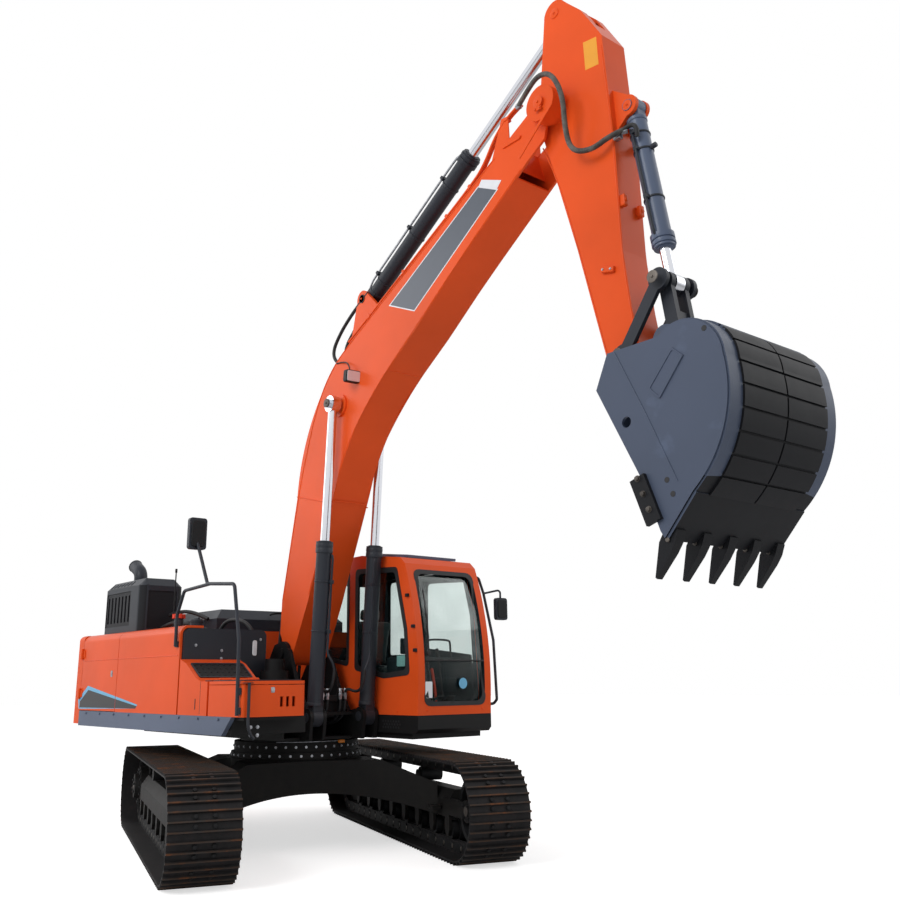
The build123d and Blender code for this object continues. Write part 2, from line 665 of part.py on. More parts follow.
# Columns: node's name, side of the machine, rear end, front end, lower edge, edge on the roof
COVERS = (
    ("pump_door", -1, COVER_DOOR_REAR, PANEL_SEAM - PANEL_GAP / 2, DOOR_BOTTOM, DOOR_INBOARD),
    ("right_cover", -1, PANEL_SEAM + PANEL_GAP / 2, RIGHT_COVER_FRONT, COVER_BOTTOM, COVER_INBOARD),
    ("radiator_door", 1, COVER_DOOR_REAR, PANEL_SEAM - PANEL_GAP / 2, DOOR_BOTTOM, DOOR_INBOARD),
    ("left_cover", 1, PANEL_SEAM + PANEL_GAP / 2, LEFT_COVER_FRONT, COVER_BOTTOM, COVER_INBOARD),
)
covers = {}
for name, sign, rear, front, bottom, inboard in COVERS:
    with BuildPart() as cover:
        with BuildSketch(across(rear)):
            with BuildLine():
                cover_section(sign, bottom, inboard)
            make_face()
        extrude(amount=front - rear)
        if inboard == DOOR_INBOARD:
            for z in COVER_HINGES:
                hinge = standing_hinge(DECK_REAR, sign * HALF_WIDTH, z)
                add(knuckle(hinge, (0, -KNUCKLE), (HINGE_REACH, HINGE_LEAF - KNUCKLE)))
    covers[name] = cover

TANK_REAR = -620
TANK_INBOARD = 480
TANK_TOP = SIDE_TOP - COVER_WALL - 5
TANK_ROUND = 70
CAP_RADIUS = 70
with BuildPart() as fuel_tank:
    with BuildSketch(across(TANK_REAR)):
        with Locations((-(HALF_WIDTH - COVER_WALL - 5 + TANK_INBOARD) / 2, (COVER_BOTTOM + TANK_TOP) / 2)):
            RectangleRounded(HALF_WIDTH - COVER_WALL - 5 - TANK_INBOARD, TANK_TOP - COVER_BOTTOM, TANK_ROUND)
    extrude(amount=TANK_FRONT - TANK_REAR)
    with BuildSketch(plan(TANK_TOP)):
        with Locations((-330, -1080)):
            Circle(CAP_RADIUS)
    extrude(amount=90)

# Roof over the engine room: a level deck with the engine hood's opening, and its front wall
HOOD_REAR = -2420
HOOD_FRONT = -640
HOOD_RIGHT = -690
HOOD_LEFT = 1000
HOOD_WALL = 20
HOOD_TOP = 2440
HOOD_BEVEL = 110
HOOD_LIP = 40
ROOF_PLATE = 20
WALL_STEP = 330
AFTER_REAR = -2590
AFTER_FRONT = -1460
AFTER_RIGHT = -1250
AFTER_LEFT = -720
ROOF_FRONT = TANK_REAR - SEAT
ROOF_HALF = COVER_INBOARD - SEAT
ROOF_DOOR_HALF = DOOR_INBOARD - DOOR_CLEAR
HOOD_HINGES = (-450, 760)


def hood_hinge(y):
    """Plane of the engine hood's hinge behind its rear wall."""
    return Plane(origin=(SWING_X + HOOD_REAR - KNUCKLE, y, SIDE_TOP + KNUCKLE), x_dir=(1, 0, 0), z_dir=(0, -1, 0))


with BuildPart() as engine_roof:
    with BuildSketch(plan(SIDE_TOP - ROOF_PLATE)):
        with BuildLine():
            Polyline(
                (DECK_REAR, -ROOF_DOOR_HALF), (PANEL_SEAM, -ROOF_DOOR_HALF), (PANEL_SEAM, -ROOF_HALF),
                (ROOF_FRONT, -ROOF_HALF), (ROOF_FRONT, WALL_STEP), (LEFT_COVER_FRONT, WALL_STEP),
                (LEFT_COVER_FRONT, ROOF_HALF), (PANEL_SEAM, ROOF_HALF), (PANEL_SEAM, ROOF_DOOR_HALF),
                (DECK_REAR, ROOF_DOOR_HALF), close=True,
            )
        make_face()
        with Locations(((HOOD_REAR + HOOD_FRONT) / 2, (HOOD_RIGHT + HOOD_LEFT) / 2)):
            Rectangle(
                HOOD_FRONT - HOOD_REAR - 2 * HOOD_LIP, HOOD_LEFT - HOOD_RIGHT - 2 * HOOD_LIP,
                mode=Mode.SUBTRACT,
            )
    extrude(amount=ROOF_PLATE)
    with BuildSketch(plan(COVER_BOTTOM)):
        with BuildLine():
            Polyline(
                (ROOF_FRONT, -ROOF_HALF), (ROOF_FRONT, WALL_STEP), (LEFT_COVER_FRONT, WALL_STEP),
                (LEFT_COVER_FRONT, ROOF_HALF), (LEFT_COVER_FRONT - ROOF_PLATE, ROOF_HALF),
                (LEFT_COVER_FRONT - ROOF_PLATE, WALL_STEP + ROOF_PLATE),
                (ROOF_FRONT - ROOF_PLATE, WALL_STEP + ROOF_PLATE), (ROOF_FRONT - ROOF_PLATE, -ROOF_HALF),
                close=True,
            )
        make_face()
    extrude(amount=SIDE_TOP - ROOF_PLATE - COVER_BOTTOM)
    for y in HOOD_HINGES:
        add(hinge_pin(hood_hinge(y), (-HINGE_LEAF, -KNUCKLE), (HINGE_LEAF, 0)))

HOOD_BOTTOM = SIDE_TOP + DOOR_CLEAR
with BuildPart() as engine_hood:
    with BuildSketch(plan(HOOD_BOTTOM)):
        with Locations(((HOOD_REAR + HOOD_FRONT) / 2, (HOOD_RIGHT + HOOD_LEFT) / 2)):
            Rectangle(HOOD_FRONT - HOOD_REAR, HOOD_LEFT - HOOD_RIGHT)
    extrude(amount=HOOD_TOP - HOOD_BOTTOM)
    chamfer(engine_hood.faces().sort_by(Axis.Z)[-1].edges(), HOOD_BEVEL)
    offset(amount=-HOOD_WALL, openings=engine_hood.faces().sort_by(Axis.Z)[0])
    for y in HOOD_HINGES:
        add(knuckle(hood_hinge(y), (0, -HINGE_LEAF), (KNUCKLE, HINGE_LEAF)))

STACK_X = -2230
STACK_Y = -950
STACK_RADIUS = 80
STACK_BEND = 120
STACK_TIP = (-2420, 3060)
AFTER_TOP = 2830
AFTER_ROUND = 100
AFTER_BEVEL = 90
AFTER_BOTTOM = SIDE_TOP + SEAT
AFTER_RECESS = 10
# Corners of the recessed panels: on the right side (X, Z), and in front (Y, Z)
SIDE_PANEL = ((-2510, 2290), (-1760, 2690))
FRONT_PANEL = ((-1160, 2250), (-810, 2680))
VENT_COUNT = 7
VENT_DEPTH = 35
VENT_WIDTH = 44
VENT_SPREAD = 620
VENT_HEIGHT = 310
BEVEL_VENT = 70
BEVEL_VENT_LEAN = 25
vent_middle = (SIDE_PANEL[0][0] + SIDE_PANEL[1][0]) / 2
vent_z = (SIDE_PANEL[0][1] + SIDE_PANEL[1][1]) / 2
with BuildPart() as exhaust_cover:
    with BuildSketch(plan(AFTER_BOTTOM)):
        with Locations(((AFTER_REAR + AFTER_FRONT) / 2, (AFTER_RIGHT + AFTER_LEFT) / 2)):
            RectangleRounded(AFTER_FRONT - AFTER_REAR, AFTER_LEFT - AFTER_RIGHT, AFTER_ROUND)
    extrude(amount=AFTER_TOP - AFTER_BOTTOM)
    chamfer(exhaust_cover.faces().sort_by(Axis.Z)[-1].edges(), AFTER_BEVEL)
    for face, (low, high) in ((side(AFTER_RIGHT), SIDE_PANEL), (across(AFTER_FRONT), FRONT_PANEL)):
        with BuildSketch(face):
            with Locations(((low[0] + high[0]) / 2, (low[1] + high[1]) / 2)):
                Rectangle(high[0] - low[0], high[1] - low[1])
        extrude(amount=-AFTER_RECESS, mode=Mode.SUBTRACT)
    with BuildSketch(side(AFTER_RIGHT)):
        with Locations((vent_middle, vent_z)):
            with GridLocations(VENT_SPREAD / (VENT_COUNT - 1), 0, VENT_COUNT, 1):
                Rectangle(VENT_WIDTH, VENT_HEIGHT)
    extrude(amount=-VENT_DEPTH, mode=Mode.SUBTRACT)
    bevel_middle = at(vent_middle, AFTER_RIGHT + AFTER_BEVEL / 2, AFTER_TOP - AFTER_BEVEL / 2)
    with BuildSketch(Plane(origin=bevel_middle, x_dir=(1, 0, 0), z_dir=(0, -1, 1))):
        with GridLocations(VENT_SPREAD / (VENT_COUNT - 1), 0, VENT_COUNT, 1):
            Rectangle(VENT_WIDTH, BEVEL_VENT, rotation=-BEVEL_VENT_LEAN)
    extrude(amount=-VENT_DEPTH, mode=Mode.SUBTRACT)
    outlet_points = [
        at(STACK_X, STACK_Y, AFTER_TOP - 20), at(STACK_X, STACK_Y, AFTER_TOP + 130),
        at(STACK_TIP[0], STACK_Y, STACK_TIP[1]),
    ]
    add(tube(outlet_points, STACK_RADIUS, STACK_BEND))

ENGINE_LENGTH = 800
ENGINE_WIDTH = 1250
ENGINE_HEIGHT = 600
with BuildPart() as engine_block:
    with BuildSketch(plan(COVER_BOTTOM)):
        with Locations((-1650, 150)):
            Rectangle(ENGINE_LENGTH, ENGINE_WIDTH)
    extrude(amount=ENGINE_HEIGHT)

# Front right: battery box behind the step, tool box with its lid
STEP_FRONT = 745
BOX_REAR = 760
BOX_FRONT = 1440
BOX_INBOARD = -790
BOX_TOP = 1605
LID_THICK = 30
LID_BOTTOM = BOX_TOP + DOOR_CLEAR
STEP_TOP = LID_BOTTOM + LID_THICK
BOX_WALL = 22
BOX_VENT_MIDDLE = (-980, 1455)
BOX_VENT_STEP = 64
BOX_VENT_HEIGHT = 90
BATTERY_REAR = TANK_FRONT + SEAT
LID_HINGES = (-1270, -970)


def lid_hinge(y):
    """Plane of the tool box lid's hinge, on top between the step and the lid."""
    x = SWING_X + (STEP_FRONT + BOX_REAR) / 2
    return Plane(origin=(x, y, STEP_TOP + KNUCKLE), x_dir=(1, 0, 0), z_dir=(0, -1, 0))


with BuildPart() as battery_box:
    with BuildSketch(side(-HALF_WIDTH)):
        with BuildLine():
            Polyline(
                (BATTERY_REAR, COVER_BOTTOM), (BATTERY_REAR, 1860), (260, 1815), (490, 1675),
                (600, STEP_TOP), (STEP_FRONT, STEP_TOP), (STEP_FRONT, COVER_BOTTOM), close=True,
            )
        make_face()
    extrude(amount=-(HALF_WIDTH + BOX_INBOARD))
    for y in LID_HINGES:
        add(hinge_pin(lid_hinge(y), (-HINGE_REACH, -KNUCKLE), (0, HINGE_LEAF - KNUCKLE)))

with BuildPart() as toolbox:
    with BuildSketch(plan(COVER_BOTTOM)):
        with Locations(((BOX_REAR + BOX_FRONT) / 2, (BOX_INBOARD - HALF_WIDTH) / 2)):
            RectangleRounded(BOX_FRONT - BOX_REAR, HALF_WIDTH + BOX_INBOARD, 30)
    extrude(amount=BOX_TOP - COVER_BOTTOM)
    offset(amount=-BOX_WALL, openings=toolbox.faces().sort_by(Axis.Z)[-1])
    with BuildSketch(across(BOX_FRONT + 1)):
        with Locations(BOX_VENT_MIDDLE):
            with GridLocations(BOX_VENT_STEP, 0, 3, 1):
                Rectangle(BOX_VENT_STEP / 2, BOX_VENT_HEIGHT)
    extrude(amount=-BOX_WALL - 2, mode=Mode.SUBTRACT)

with BuildPart() as toolbox_lid:
    with BuildSketch(plan(LID_BOTTOM)):
        with Locations(((BOX_REAR + BOX_FRONT) / 2, (BOX_INBOARD - HALF_WIDTH) / 2)):
            RectangleRounded(BOX_FRONT - BOX_REAR, HALF_WIDTH + BOX_INBOARD, 30)
    extrude(amount=LID_THICK)
    for y in LID_HINGES:
        add(knuckle(lid_hinge(y), (0, -KNUCKLE), (HINGE_REACH, HINGE_LEAF - KNUCKLE)))

MOTOR_X = 120
MOTOR_Y = -470
MOTOR_RADIUS = 150
with BuildPart() as swing_motor:
    with BuildSketch(plan(COVER_BOTTOM)):
        with Locations((MOTOR_X + 180, MOTOR_Y)):
            Circle(MOTOR_RADIUS)
    extrude(amount=420)
    with BuildSketch(plan(COVER_BOTTOM + 420)):
        with Locations((MOTOR_X + 180, MOTOR_Y)):
            Circle(MOTOR_RADIUS - 45)
    extrude(amount=120)

# Handrails and mirrors
RAIL_RADIUS = 17
CAB_RAIL_RADIUS = 15
RAIL_Y = -HALF_WIDTH - 26
RAIL_FOOT = (1400, 1340)
RAIL_TOP = (690, 2565)
MIRROR_POST = (400, 3030)
right_rail_points = [
    at(RAIL_FOOT[0], RAIL_Y, RAIL_FOOT[1]), at(1385, RAIL_Y, 2000), at(1250, RAIL_Y, 2520),
    at(RAIL_TOP[0], RAIL_Y, RAIL_TOP[1]), at(MIRROR_POST[0], RAIL_Y, MIRROR_POST[1]),
]
rear_rail_points = [
    at(RAIL_TOP[0] + 50, RAIL_Y, RAIL_TOP[1] - 5), at(180, RAIL_Y, RAIL_TOP[1] - 30), at(40, RAIL_Y, 2300),
    at(40, RAIL_Y, 1990),
]
# The cab's own rail stands off its left side, in line with the front pillar, with a mirror on an arm
CAB_RAIL_Y = CAB_LEFT + 95
cab_rail_points = [
    at(1320, CAB_LEFT + SEAT, 2740), at(1320, CAB_RAIL_Y, 2740), at(1400, CAB_RAIL_Y, 2560),
    at(1545, CAB_RAIL_Y, 2050), at(1580, CAB_RAIL_Y, 1430), at(1530, CAB_RAIL_Y, 1385),
    at(1530, CAB_LEFT + SEAT, 1385),
]
CAB_MIRROR = (1500, 1665, 2390)
mirror_arm_points = [
    at(1400, CAB_RAIL_Y, 2560), at(CAB_MIRROR[0], CAB_MIRROR[1], 2600),
    at(CAB_MIRROR[0], CAB_MIRROR[1], CAB_MIRROR[2] + 50),
]
# Columns: place along the machine and height of the blocks that hold the rail to the boxes
RAIL_FEET = ((RAIL_FOOT[0], 1380), (RAIL_FOOT[0], 1550), (40, 2010))

# Cab: side profile with the curved front, hollow, with its windows cut
CAB_NOSE = 1587
# Columns: X, Z of the side profile's corners, and the middle of each curved stretch
CAB_FRONT_LOW = (CAB_NOSE, 1400)
CAB_FRONT_MIDDLE = (1545, 2200)
CAB_FRONT_HIGH = (1370, 2830)
CAB_BROW = (1290, 2900)
CAB_ROOF_FRONT = (580, 2985)
CAB_ROOF_REAR = (CAB_REAR + 60, 2975)


def cab_profile():
    """Side outline of the cab."""
    Line((CAB_REAR, CAB_FLOOR), (CAB_NOSE, CAB_FLOOR))
    Line((CAB_NOSE, CAB_FLOOR), CAB_FRONT_LOW)
    ThreePointArc(CAB_FRONT_LOW, CAB_FRONT_MIDDLE, CAB_FRONT_HIGH)
    Line(CAB_FRONT_HIGH, CAB_BROW)
    Line(CAB_BROW, CAB_ROOF_FRONT)
    Line(CAB_ROOF_FRONT, CAB_ROOF_REAR)
    Line(CAB_ROOF_REAR, (CAB_REAR, CAB_ROOF_REAR[1] - 60))
    Line((CAB_REAR, CAB_ROOF_REAR[1] - 60), (CAB_REAR, CAB_FLOOR))


CAB_MIDDLE = (CAB_RIGHT + CAB_LEFT) / 2
DOOR_GAP = 8
WINDOW_ROUND = 60
DOOR_REAR = 420
DOOR_OUTLINE = ((DOOR_REAR, 1345), (1440, 1345), (1460, 1500), (1400, 2350), (1270, 2800), (DOOR_REAR, 2840))
SIDE_WINDOW = ((480, 1760), (1010, 1670), (1440, 1700), (1400, 2150), (1225, 2790), (480, 2830))
REAR_SIDE_WINDOW = ((CAB_REAR + 80, 1900), (340, 1800), (340, 2830), (CAB_REAR + 80, 2830))
DOOR_WINDOW = ((DOOR_REAR + 70, 1850), (1370, 1750), (1330, 2320), (1215, 2735), (DOOR_REAR + 70, 2770))
DOOR_LOW_WINDOW = ((DOOR_REAR + 70, 1420), (1360, 1420), (1375, 1660), (DOOR_REAR + 70, 1740))
GLASS = 6
HATCH_THICK = 30
HATCH_REAR = 45
HATCH_FRONT = 640
HATCH_HALF = CAB_WIDTH / 2 - 150
HATCH_HINGES = (CAB_MIDDLE - 220, CAB_MIDDLE + 220)
DOOR_HINGES = (1620, 2520)


def hatch_hinge(y):
    """Plane of the roof hatch's hinge, on the roof's front slope behind the hatch."""
    slope = along(CAB_ROOF_FRONT, CAB_BROW, y)
    origin = slope.from_local_coords((HATCH_REAR - KNUCKLE, KNUCKLE, 0))
    return Plane(origin=origin, x_dir=slope.x_dir, z_dir=slope.z_dir)


def rounded_window(corners, bend, inset=0):
    """A window's outline with rounded corners, drawn smaller by the inset."""
    with BuildSketch() as window:
        with BuildLine():
            Polyline(*corners, close=True)
        make_face()
        fillet(window.vertices(), bend)
        if inset:
            offset(amount=-inset)
    return window.sketch


with BuildPart() as cab_shell:
    with BuildSketch(side(CAB_MIDDLE)):
        with BuildLine():
            cab_profile()
        make_face()
    extrude(amount=CAB_WIDTH / 2, both=True)
    with BuildSketch(side(CAB_MIDDLE)):
        with BuildLine():
            cab_profile()
        make_face()
        offset(amount=-CAB_WALL)
    extrude(amount=CAB_WIDTH / 2 - CAB_WALL, both=True, mode=Mode.SUBTRACT)
    with BuildSketch(across(CAB_NOSE + 50)):
        with Locations((CAB_MIDDLE, 2075)):
            RectangleRounded(CAB_WIDTH - 170, 1380, 90)
    extrude(amount=-400, mode=Mode.SUBTRACT)
    with BuildSketch(side(CAB_RIGHT - 10)):
        add(rounded_window(SIDE_WINDOW, WINDOW_ROUND))
        add(rounded_window(REAR_SIDE_WINDOW, WINDOW_ROUND))
    extrude(amount=-(CAB_WALL + 20), mode=Mode.SUBTRACT)
    with BuildSketch(side(CAB_LEFT + 10)):
        add(rounded_window(DOOR_OUTLINE, WINDOW_ROUND))
        add(rounded_window(REAR_SIDE_WINDOW, WINDOW_ROUND))
    extrude(amount=CAB_WALL + 20, mode=Mode.SUBTRACT)
    with BuildSketch(across(CAB_REAR - 10)):
        with Locations((CAB_MIDDLE, 2380)):
            RectangleRounded(CAB_WIDTH - 220, 780, WINDOW_ROUND)
    extrude(amount=CAB_WALL + 20, mode=Mode.SUBTRACT)
    with BuildSketch(plan(2700)):
        with Locations((900, CAB_MIDDLE)):
            RectangleRounded(480, CAB_WIDTH - 360, WINDOW_ROUND)
    extrude(amount=500, mode=Mode.SUBTRACT)
    for y in HATCH_HINGES:
        add(hinge_pin(hatch_hinge(y), (-HINGE_LEAF, -KNUCKLE), (HINGE_LEAF, 0)))
    for z in DOOR_HINGES:
        hinge = standing_hinge(DOOR_REAR, CAB_LEFT, z)
        add(hinge_pin(hinge, (-HINGE_REACH, -KNUCKLE), (0, HINGE_LEAF - KNUCKLE)))

with BuildPart() as cab_glass:
    with BuildSketch(side(CAB_MIDDLE)):
        with BuildLine():
            cab_profile()
        make_face()
        offset(amount=-20)
    extrude(amount=CAB_WIDTH / 2 - 60, both=True)
    with BuildSketch(side(CAB_MIDDLE)):
        with BuildLine():
            cab_profile()
        make_face()
        offset(amount=-20 - GLASS)
    extrude(amount=CAB_WIDTH / 2, both=True, mode=Mode.SUBTRACT)
    with BuildSketch(across(CAB_NOSE + 50)):
        with Locations((CAB_MIDDLE, 2075)):
            RectangleRounded(CAB_WIDTH - 170 - 2 * SEAT, 1380 - 2 * SEAT, 90)
    extrude(amount=-400, mode=Mode.INTERSECT)
    with BuildSketch(side(CAB_RIGHT + 25)):
        add(rounded_window(SIDE_WINDOW, WINDOW_ROUND, SEAT))
        add(rounded_window(REAR_SIDE_WINDOW, WINDOW_ROUND, SEAT))
    extrude(amount=GLASS)
    with BuildSketch(side(CAB_LEFT - 25)):
        add(rounded_window(REAR_SIDE_WINDOW, WINDOW_ROUND, SEAT))
    extrude(amount=GLASS)
    with BuildSketch(across(CAB_REAR + 20)):
        with Locations((CAB_MIDDLE, 2380)):
            RectangleRounded(CAB_WIDTH - 220 - 2 * SEAT, 780 - 2 * SEAT, WINDOW_ROUND)
    extrude(amount=GLASS)

with BuildPart() as cab_door:
    with BuildSketch(side(CAB_LEFT)):
        add(rounded_window(DOOR_OUTLINE, WINDOW_ROUND, DOOR_GAP))
        add(rounded_window(DOOR_WINDOW, 45), mode=Mode.SUBTRACT)
        add(rounded_window(DOOR_LOW_WINDOW, 45), mode=Mode.SUBTRACT)
    extrude(amount=CAB_WALL)
    for z in DOOR_HINGES:
        hinge = standing_hinge(DOOR_REAR, CAB_LEFT, z)
        add(knuckle(hinge, (0, -KNUCKLE), (HINGE_REACH, HINGE_LEAF - KNUCKLE)))

with BuildPart() as door_glass:
    with BuildSketch(side(CAB_LEFT - 25)):
        add(rounded_window(DOOR_WINDOW, 45, SEAT))
        add(rounded_window(DOOR_LOW_WINDOW, 45, SEAT))
    extrude(amount=GLASS)

with BuildPart() as roof_hatch:
    with BuildSketch(along(CAB_ROOF_FRONT, CAB_BROW, CAB_MIDDLE)):
        with Locations(((HATCH_REAR + HATCH_FRONT) / 2, DOOR_CLEAR + HATCH_THICK / 2)):
            Rectangle(HATCH_FRONT - HATCH_REAR, HATCH_THICK)
    extrude(amount=HATCH_HALF, both=True)
    for y in HATCH_HINGES:
        add(knuckle(hatch_hinge(y), (0, -HINGE_LEAF), (KNUCKLE, HINGE_LEAF)))

with BuildPart() as cab_base:
    with BuildSketch(side(CAB_MIDDLE)):
        with BuildLine():
            Polyline(
                (CAB_REAR, CAB_BASE_BOTTOM + 20), (CAB_REAR, CAB_FLOOR - SEAT), (CAB_NOSE, CAB_FLOOR - SEAT),
                (CAB_NOSE, CAB_BASE_BOTTOM + 40), (CAB_NOSE - 40, CAB_BASE_BOTTOM), (CAB_REAR + 300, CAB_BASE_BOTTOM),
                close=True,
            )
        make_face()
    extrude(amount=CAB_WIDTH / 2, both=True)

SEAT_X = 420
SEAT_WIDTH = 500
FLOOR_INSIDE = CAB_FLOOR + CAB_WALL
with BuildPart() as seat:
    with BuildSketch(side(CAB_MIDDLE)):
        with BuildLine():
            Polyline(
                (SEAT_X - 230, FLOOR_INSIDE + SEAT), (SEAT_X + 230, FLOOR_INSIDE + SEAT), (SEAT_X + 200, FLOOR_INSIDE + 330),
                (SEAT_X + 270, FLOOR_INSIDE + 340), (SEAT_X + 270, FLOOR_INSIDE + 460),
                (SEAT_X - 170, FLOOR_INSIDE + 440), (SEAT_X - 330, FLOOR_INSIDE + 1100),
                (SEAT_X - 440, FLOOR_INSIDE + 1090), (SEAT_X - 300, FLOOR_INSIDE + 330),
                (SEAT_X - 200, FLOOR_INSIDE + 310), close=True,
            )
        make_face()
    extrude(amount=SEAT_WIDTH / 2, both=True)

    for sign in (-1, 1):
        with BuildSketch(side(CAB_MIDDLE + sign * (SEAT_WIDTH / 2 + 75))):
            with BuildLine():
                Polyline(
                    (SEAT_X - 200, FLOOR_INSIDE + SEAT), (SEAT_X + 120, FLOOR_INSIDE + SEAT), (SEAT_X + 330, FLOOR_INSIDE + 560),
                    (SEAT_X + 300, FLOOR_INSIDE + 620), (SEAT_X - 200, FLOOR_INSIDE + 600), close=True,
                )
            make_face()
        extrude(amount=60, both=True)

# Boom: a box of two side plates and closing plates, forked at the tip
BOOM_BACK = ((-40, 2150), (-20, 2510), (240, 3600))
BOOM_BACK_BEND = ((240, 3600), (575, 4560), (1280, 5195))
BOOM_BACK_TIP = (4240, 6655)
BOOM_BELLY_TIP = (4250, 6235)
BOOM_BELLY = ((4030, 6110), (2980, 5420), (2390, 4990), (1920, 4680))
BOOM_BELLY_BEND = ((1920, 4680), (1400, 4230), (1050, 3690))
BOOM_BELLY_FOOT = ((520, 2470), (225, 1890))
TIP_BOSS = 165
TIP_PIN = 50
FORK_DEPTH = 560
FORK_WEB = 50
FORK_LENGTH = 900


def boom_outline():
    """Side outline of the boom without its end bosses."""
    Polyline(*BOOM_BACK)
    ThreePointArc(*BOOM_BACK_BEND)
    Polyline(BOOM_BACK_BEND[2], BOOM_BACK_TIP, BOOM_TIP, BOOM_BELLY_TIP, *BOOM_BELLY)
    ThreePointArc(*BOOM_BELLY_BEND)
    Polyline(BOOM_BELLY_BEND[2], *BOOM_BELLY_FOOT, BOOM_FOOT, BOOM_BACK[0])


ROD_BOSS = 120
ROD_PIN = 48
LAMP_PLACE = (1330, 4770)
LAMP_SIZE = 100
LAMP_REACH = 25
with BuildPart() as boom:
    with BuildSketch(side()):
        with BuildLine():
            boom_outline()
        make_face()
        with Locations(BOOM_FOOT):
            Circle(FOOT_BOSS)
    extrude(amount=BOOM_HALF, both=True)
    with BuildSketch(side()):
        with BuildLine():
            boom_outline()
        make_face()
        offset(amount=-BOOM_WALL)
        with Locations(BOOM_FOOT):
            Circle(FOOT_BOSS + BOOM_WALL, mode=Mode.SUBTRACT)
        with Locations(BOOM_TIP):
            Circle(FORK_DEPTH + FORK_WEB, mode=Mode.SUBTRACT)
    extrude(amount=BOOM_HALF - BOOM_WALL, both=True, mode=Mode.SUBTRACT)
    with BuildSketch(side()):
        with Locations(BOOM_CYLINDER_ROD):
            Circle(ROD_BOSS)
    extrude(amount=BOOM_HALF + 20, both=True)
    with BuildSketch(along(BOOM_TIP, ARM_CYLINDER_BASE)):
        with Locations((FORK_DEPTH - FORK_LENGTH / 2, 0)):
            Rectangle(FORK_LENGTH, FORK_LENGTH)
    extrude(amount=FORK_INNER, both=True, mode=Mode.SUBTRACT)
    for sign in (-1, 1):
        with BuildSketch(side(sign * (FORK_INNER + FORK_OUTER) / 2)):
            with Locations(BOOM_TIP):
                Circle(TIP_BOSS)
        extrude(amount=(FORK_OUTER - FORK_INNER) / 2, both=True)
    with BuildSketch(side()):
        with Locations(BOOM_TIP):
            Circle(TIP_PIN)
    extrude(amount=FORK_OUTER + 20, both=True)
    with BuildSketch(side()):
        with Locations(BOOM_FOOT):
            Circle(FOOT_PIN + SEAT)
    extrude(amount=BOOM_HALF, both=True, mode=Mode.SUBTRACT)
    for sign in (-1, 1):
        with BuildSketch(side(sign * 105)):
            with BuildLine():
                Polyline(
                    (ARM_CYLINDER_BASE[0] - 230, 5130), (ARM_CYLINDER_BASE[0] - 80, ARM_CYLINDER_BASE[1] + 30),
                    (ARM_CYLINDER_BASE[0] + 70, ARM_CYLINDER_BASE[1] + 60),
                    (ARM_CYLINDER_BASE[0] + 420, 5390), close=True,
                )
            make_face()
            with Locations(ARM_CYLINDER_BASE):
                Circle(95)
                Circle(BASE_PIN + SEAT, mode=Mode.SUBTRACT)
        extrude(amount=20, both=True)
    with BuildSketch(side(-BOOM_HALF)):
        with Locations(LAMP_PLACE):
            Rectangle(LAMP_SIZE / 2, LAMP_SIZE / 2)
    extrude(amount=LAMP_REACH)
    with BuildSketch(side(-BOOM_HALF - LAMP_REACH)):
        with Locations(LAMP_PLACE):
            RectangleRounded(LAMP_SIZE, LAMP_SIZE, LAMP_SIZE / 6)
    extrude(amount=LAMP_SIZE)

# Cylinders. Columns: node's stem, base pin, rod pin, offsets to the sides, barrel radius,
# rod radius, barrel length from its pin, rod's inner end, eye radius, half width of the base
# eye, half length of the base pin
CYLINDERS = (
    ("boom_cylinder", BOOM_CYLINDER_BASE, BOOM_CYLINDER_ROD, (-BOOM_CYLINDER_Y, BOOM_CYLINDER_Y),
     80, 48, 1760, 1545, BASE_EYE, BASE_EYE_HALF, 103),
    ("arm_cylinder", ARM_CYLINDER_BASE, ARM_CYLINDER_ROD, (0,), 88, 54, 2000, 1390, 92, 75, 133),
    ("bucket_cylinder", BUCKET_CYLINDER_BASE, LINK_PIN, (0,), 78, 46, 1345, 225, 82, 50, 98),
)
ROD_EYE_HALF = 50
BARREL_START = 150
BORE_START = 120
GLAND_LENGTH = 90
GLAND_RISE = 8
NECK_SHARE = 0.75
cylinders = {}
for stem, base, rod_pin, offsets, outer, rod, length, inner_end, eye, half, pin_half in CYLINDERS:
    with BuildPart() as barrel_part:
        for y in offsets:
            with BuildSketch(rod_plane(base, rod_pin, BARREL_START, y)):
                Circle(outer)
            extrude(amount=length - BARREL_START)
            with BuildSketch(rod_plane(base, rod_pin, length - GLAND_LENGTH, y)):
                Circle(outer + GLAND_RISE)
            extrude(amount=GLAND_LENGTH)
            with BuildSketch(along(base, rod_pin, y)):
                with Locations((BARREL_START / 2, 0)):
                    Rectangle(BARREL_START, 2 * NECK_SHARE * eye)
                Circle(eye)
            extrude(amount=half, both=True)
            with BuildSketch(rod_plane(base, rod_pin, BORE_START, y)):
                Circle(rod + SEAT)
            extrude(amount=length, mode=Mode.SUBTRACT)
            with BuildSketch(side(y)):
                with Locations(base):
                    Circle(BASE_PIN)
            extrude(amount=pin_half, both=True)
    cylinders[stem + "_barrel"] = barrel_part
    with BuildPart() as rod_part:
        for y in offsets:
            with BuildSketch(rod_plane(base, rod_pin, inner_end, y)):
                Circle(rod)
            extrude(amount=span(base, rod_pin) - inner_end)
            with BuildSketch(side(y)):
                with Locations(rod_pin):
                    Circle(eye)
            extrude(amount=ROD_EYE_HALF, both=True)
            if y:
                with BuildSketch(side(y)):
                    with Locations(rod_pin):
                        Circle(ROD_PIN)
                extrude(amount=BOOM_CYLINDER_Y - BOOM_HALF - 20 - SIDE_GAP, both=True)
    cylinders[stem + "_rod"] = rod_part

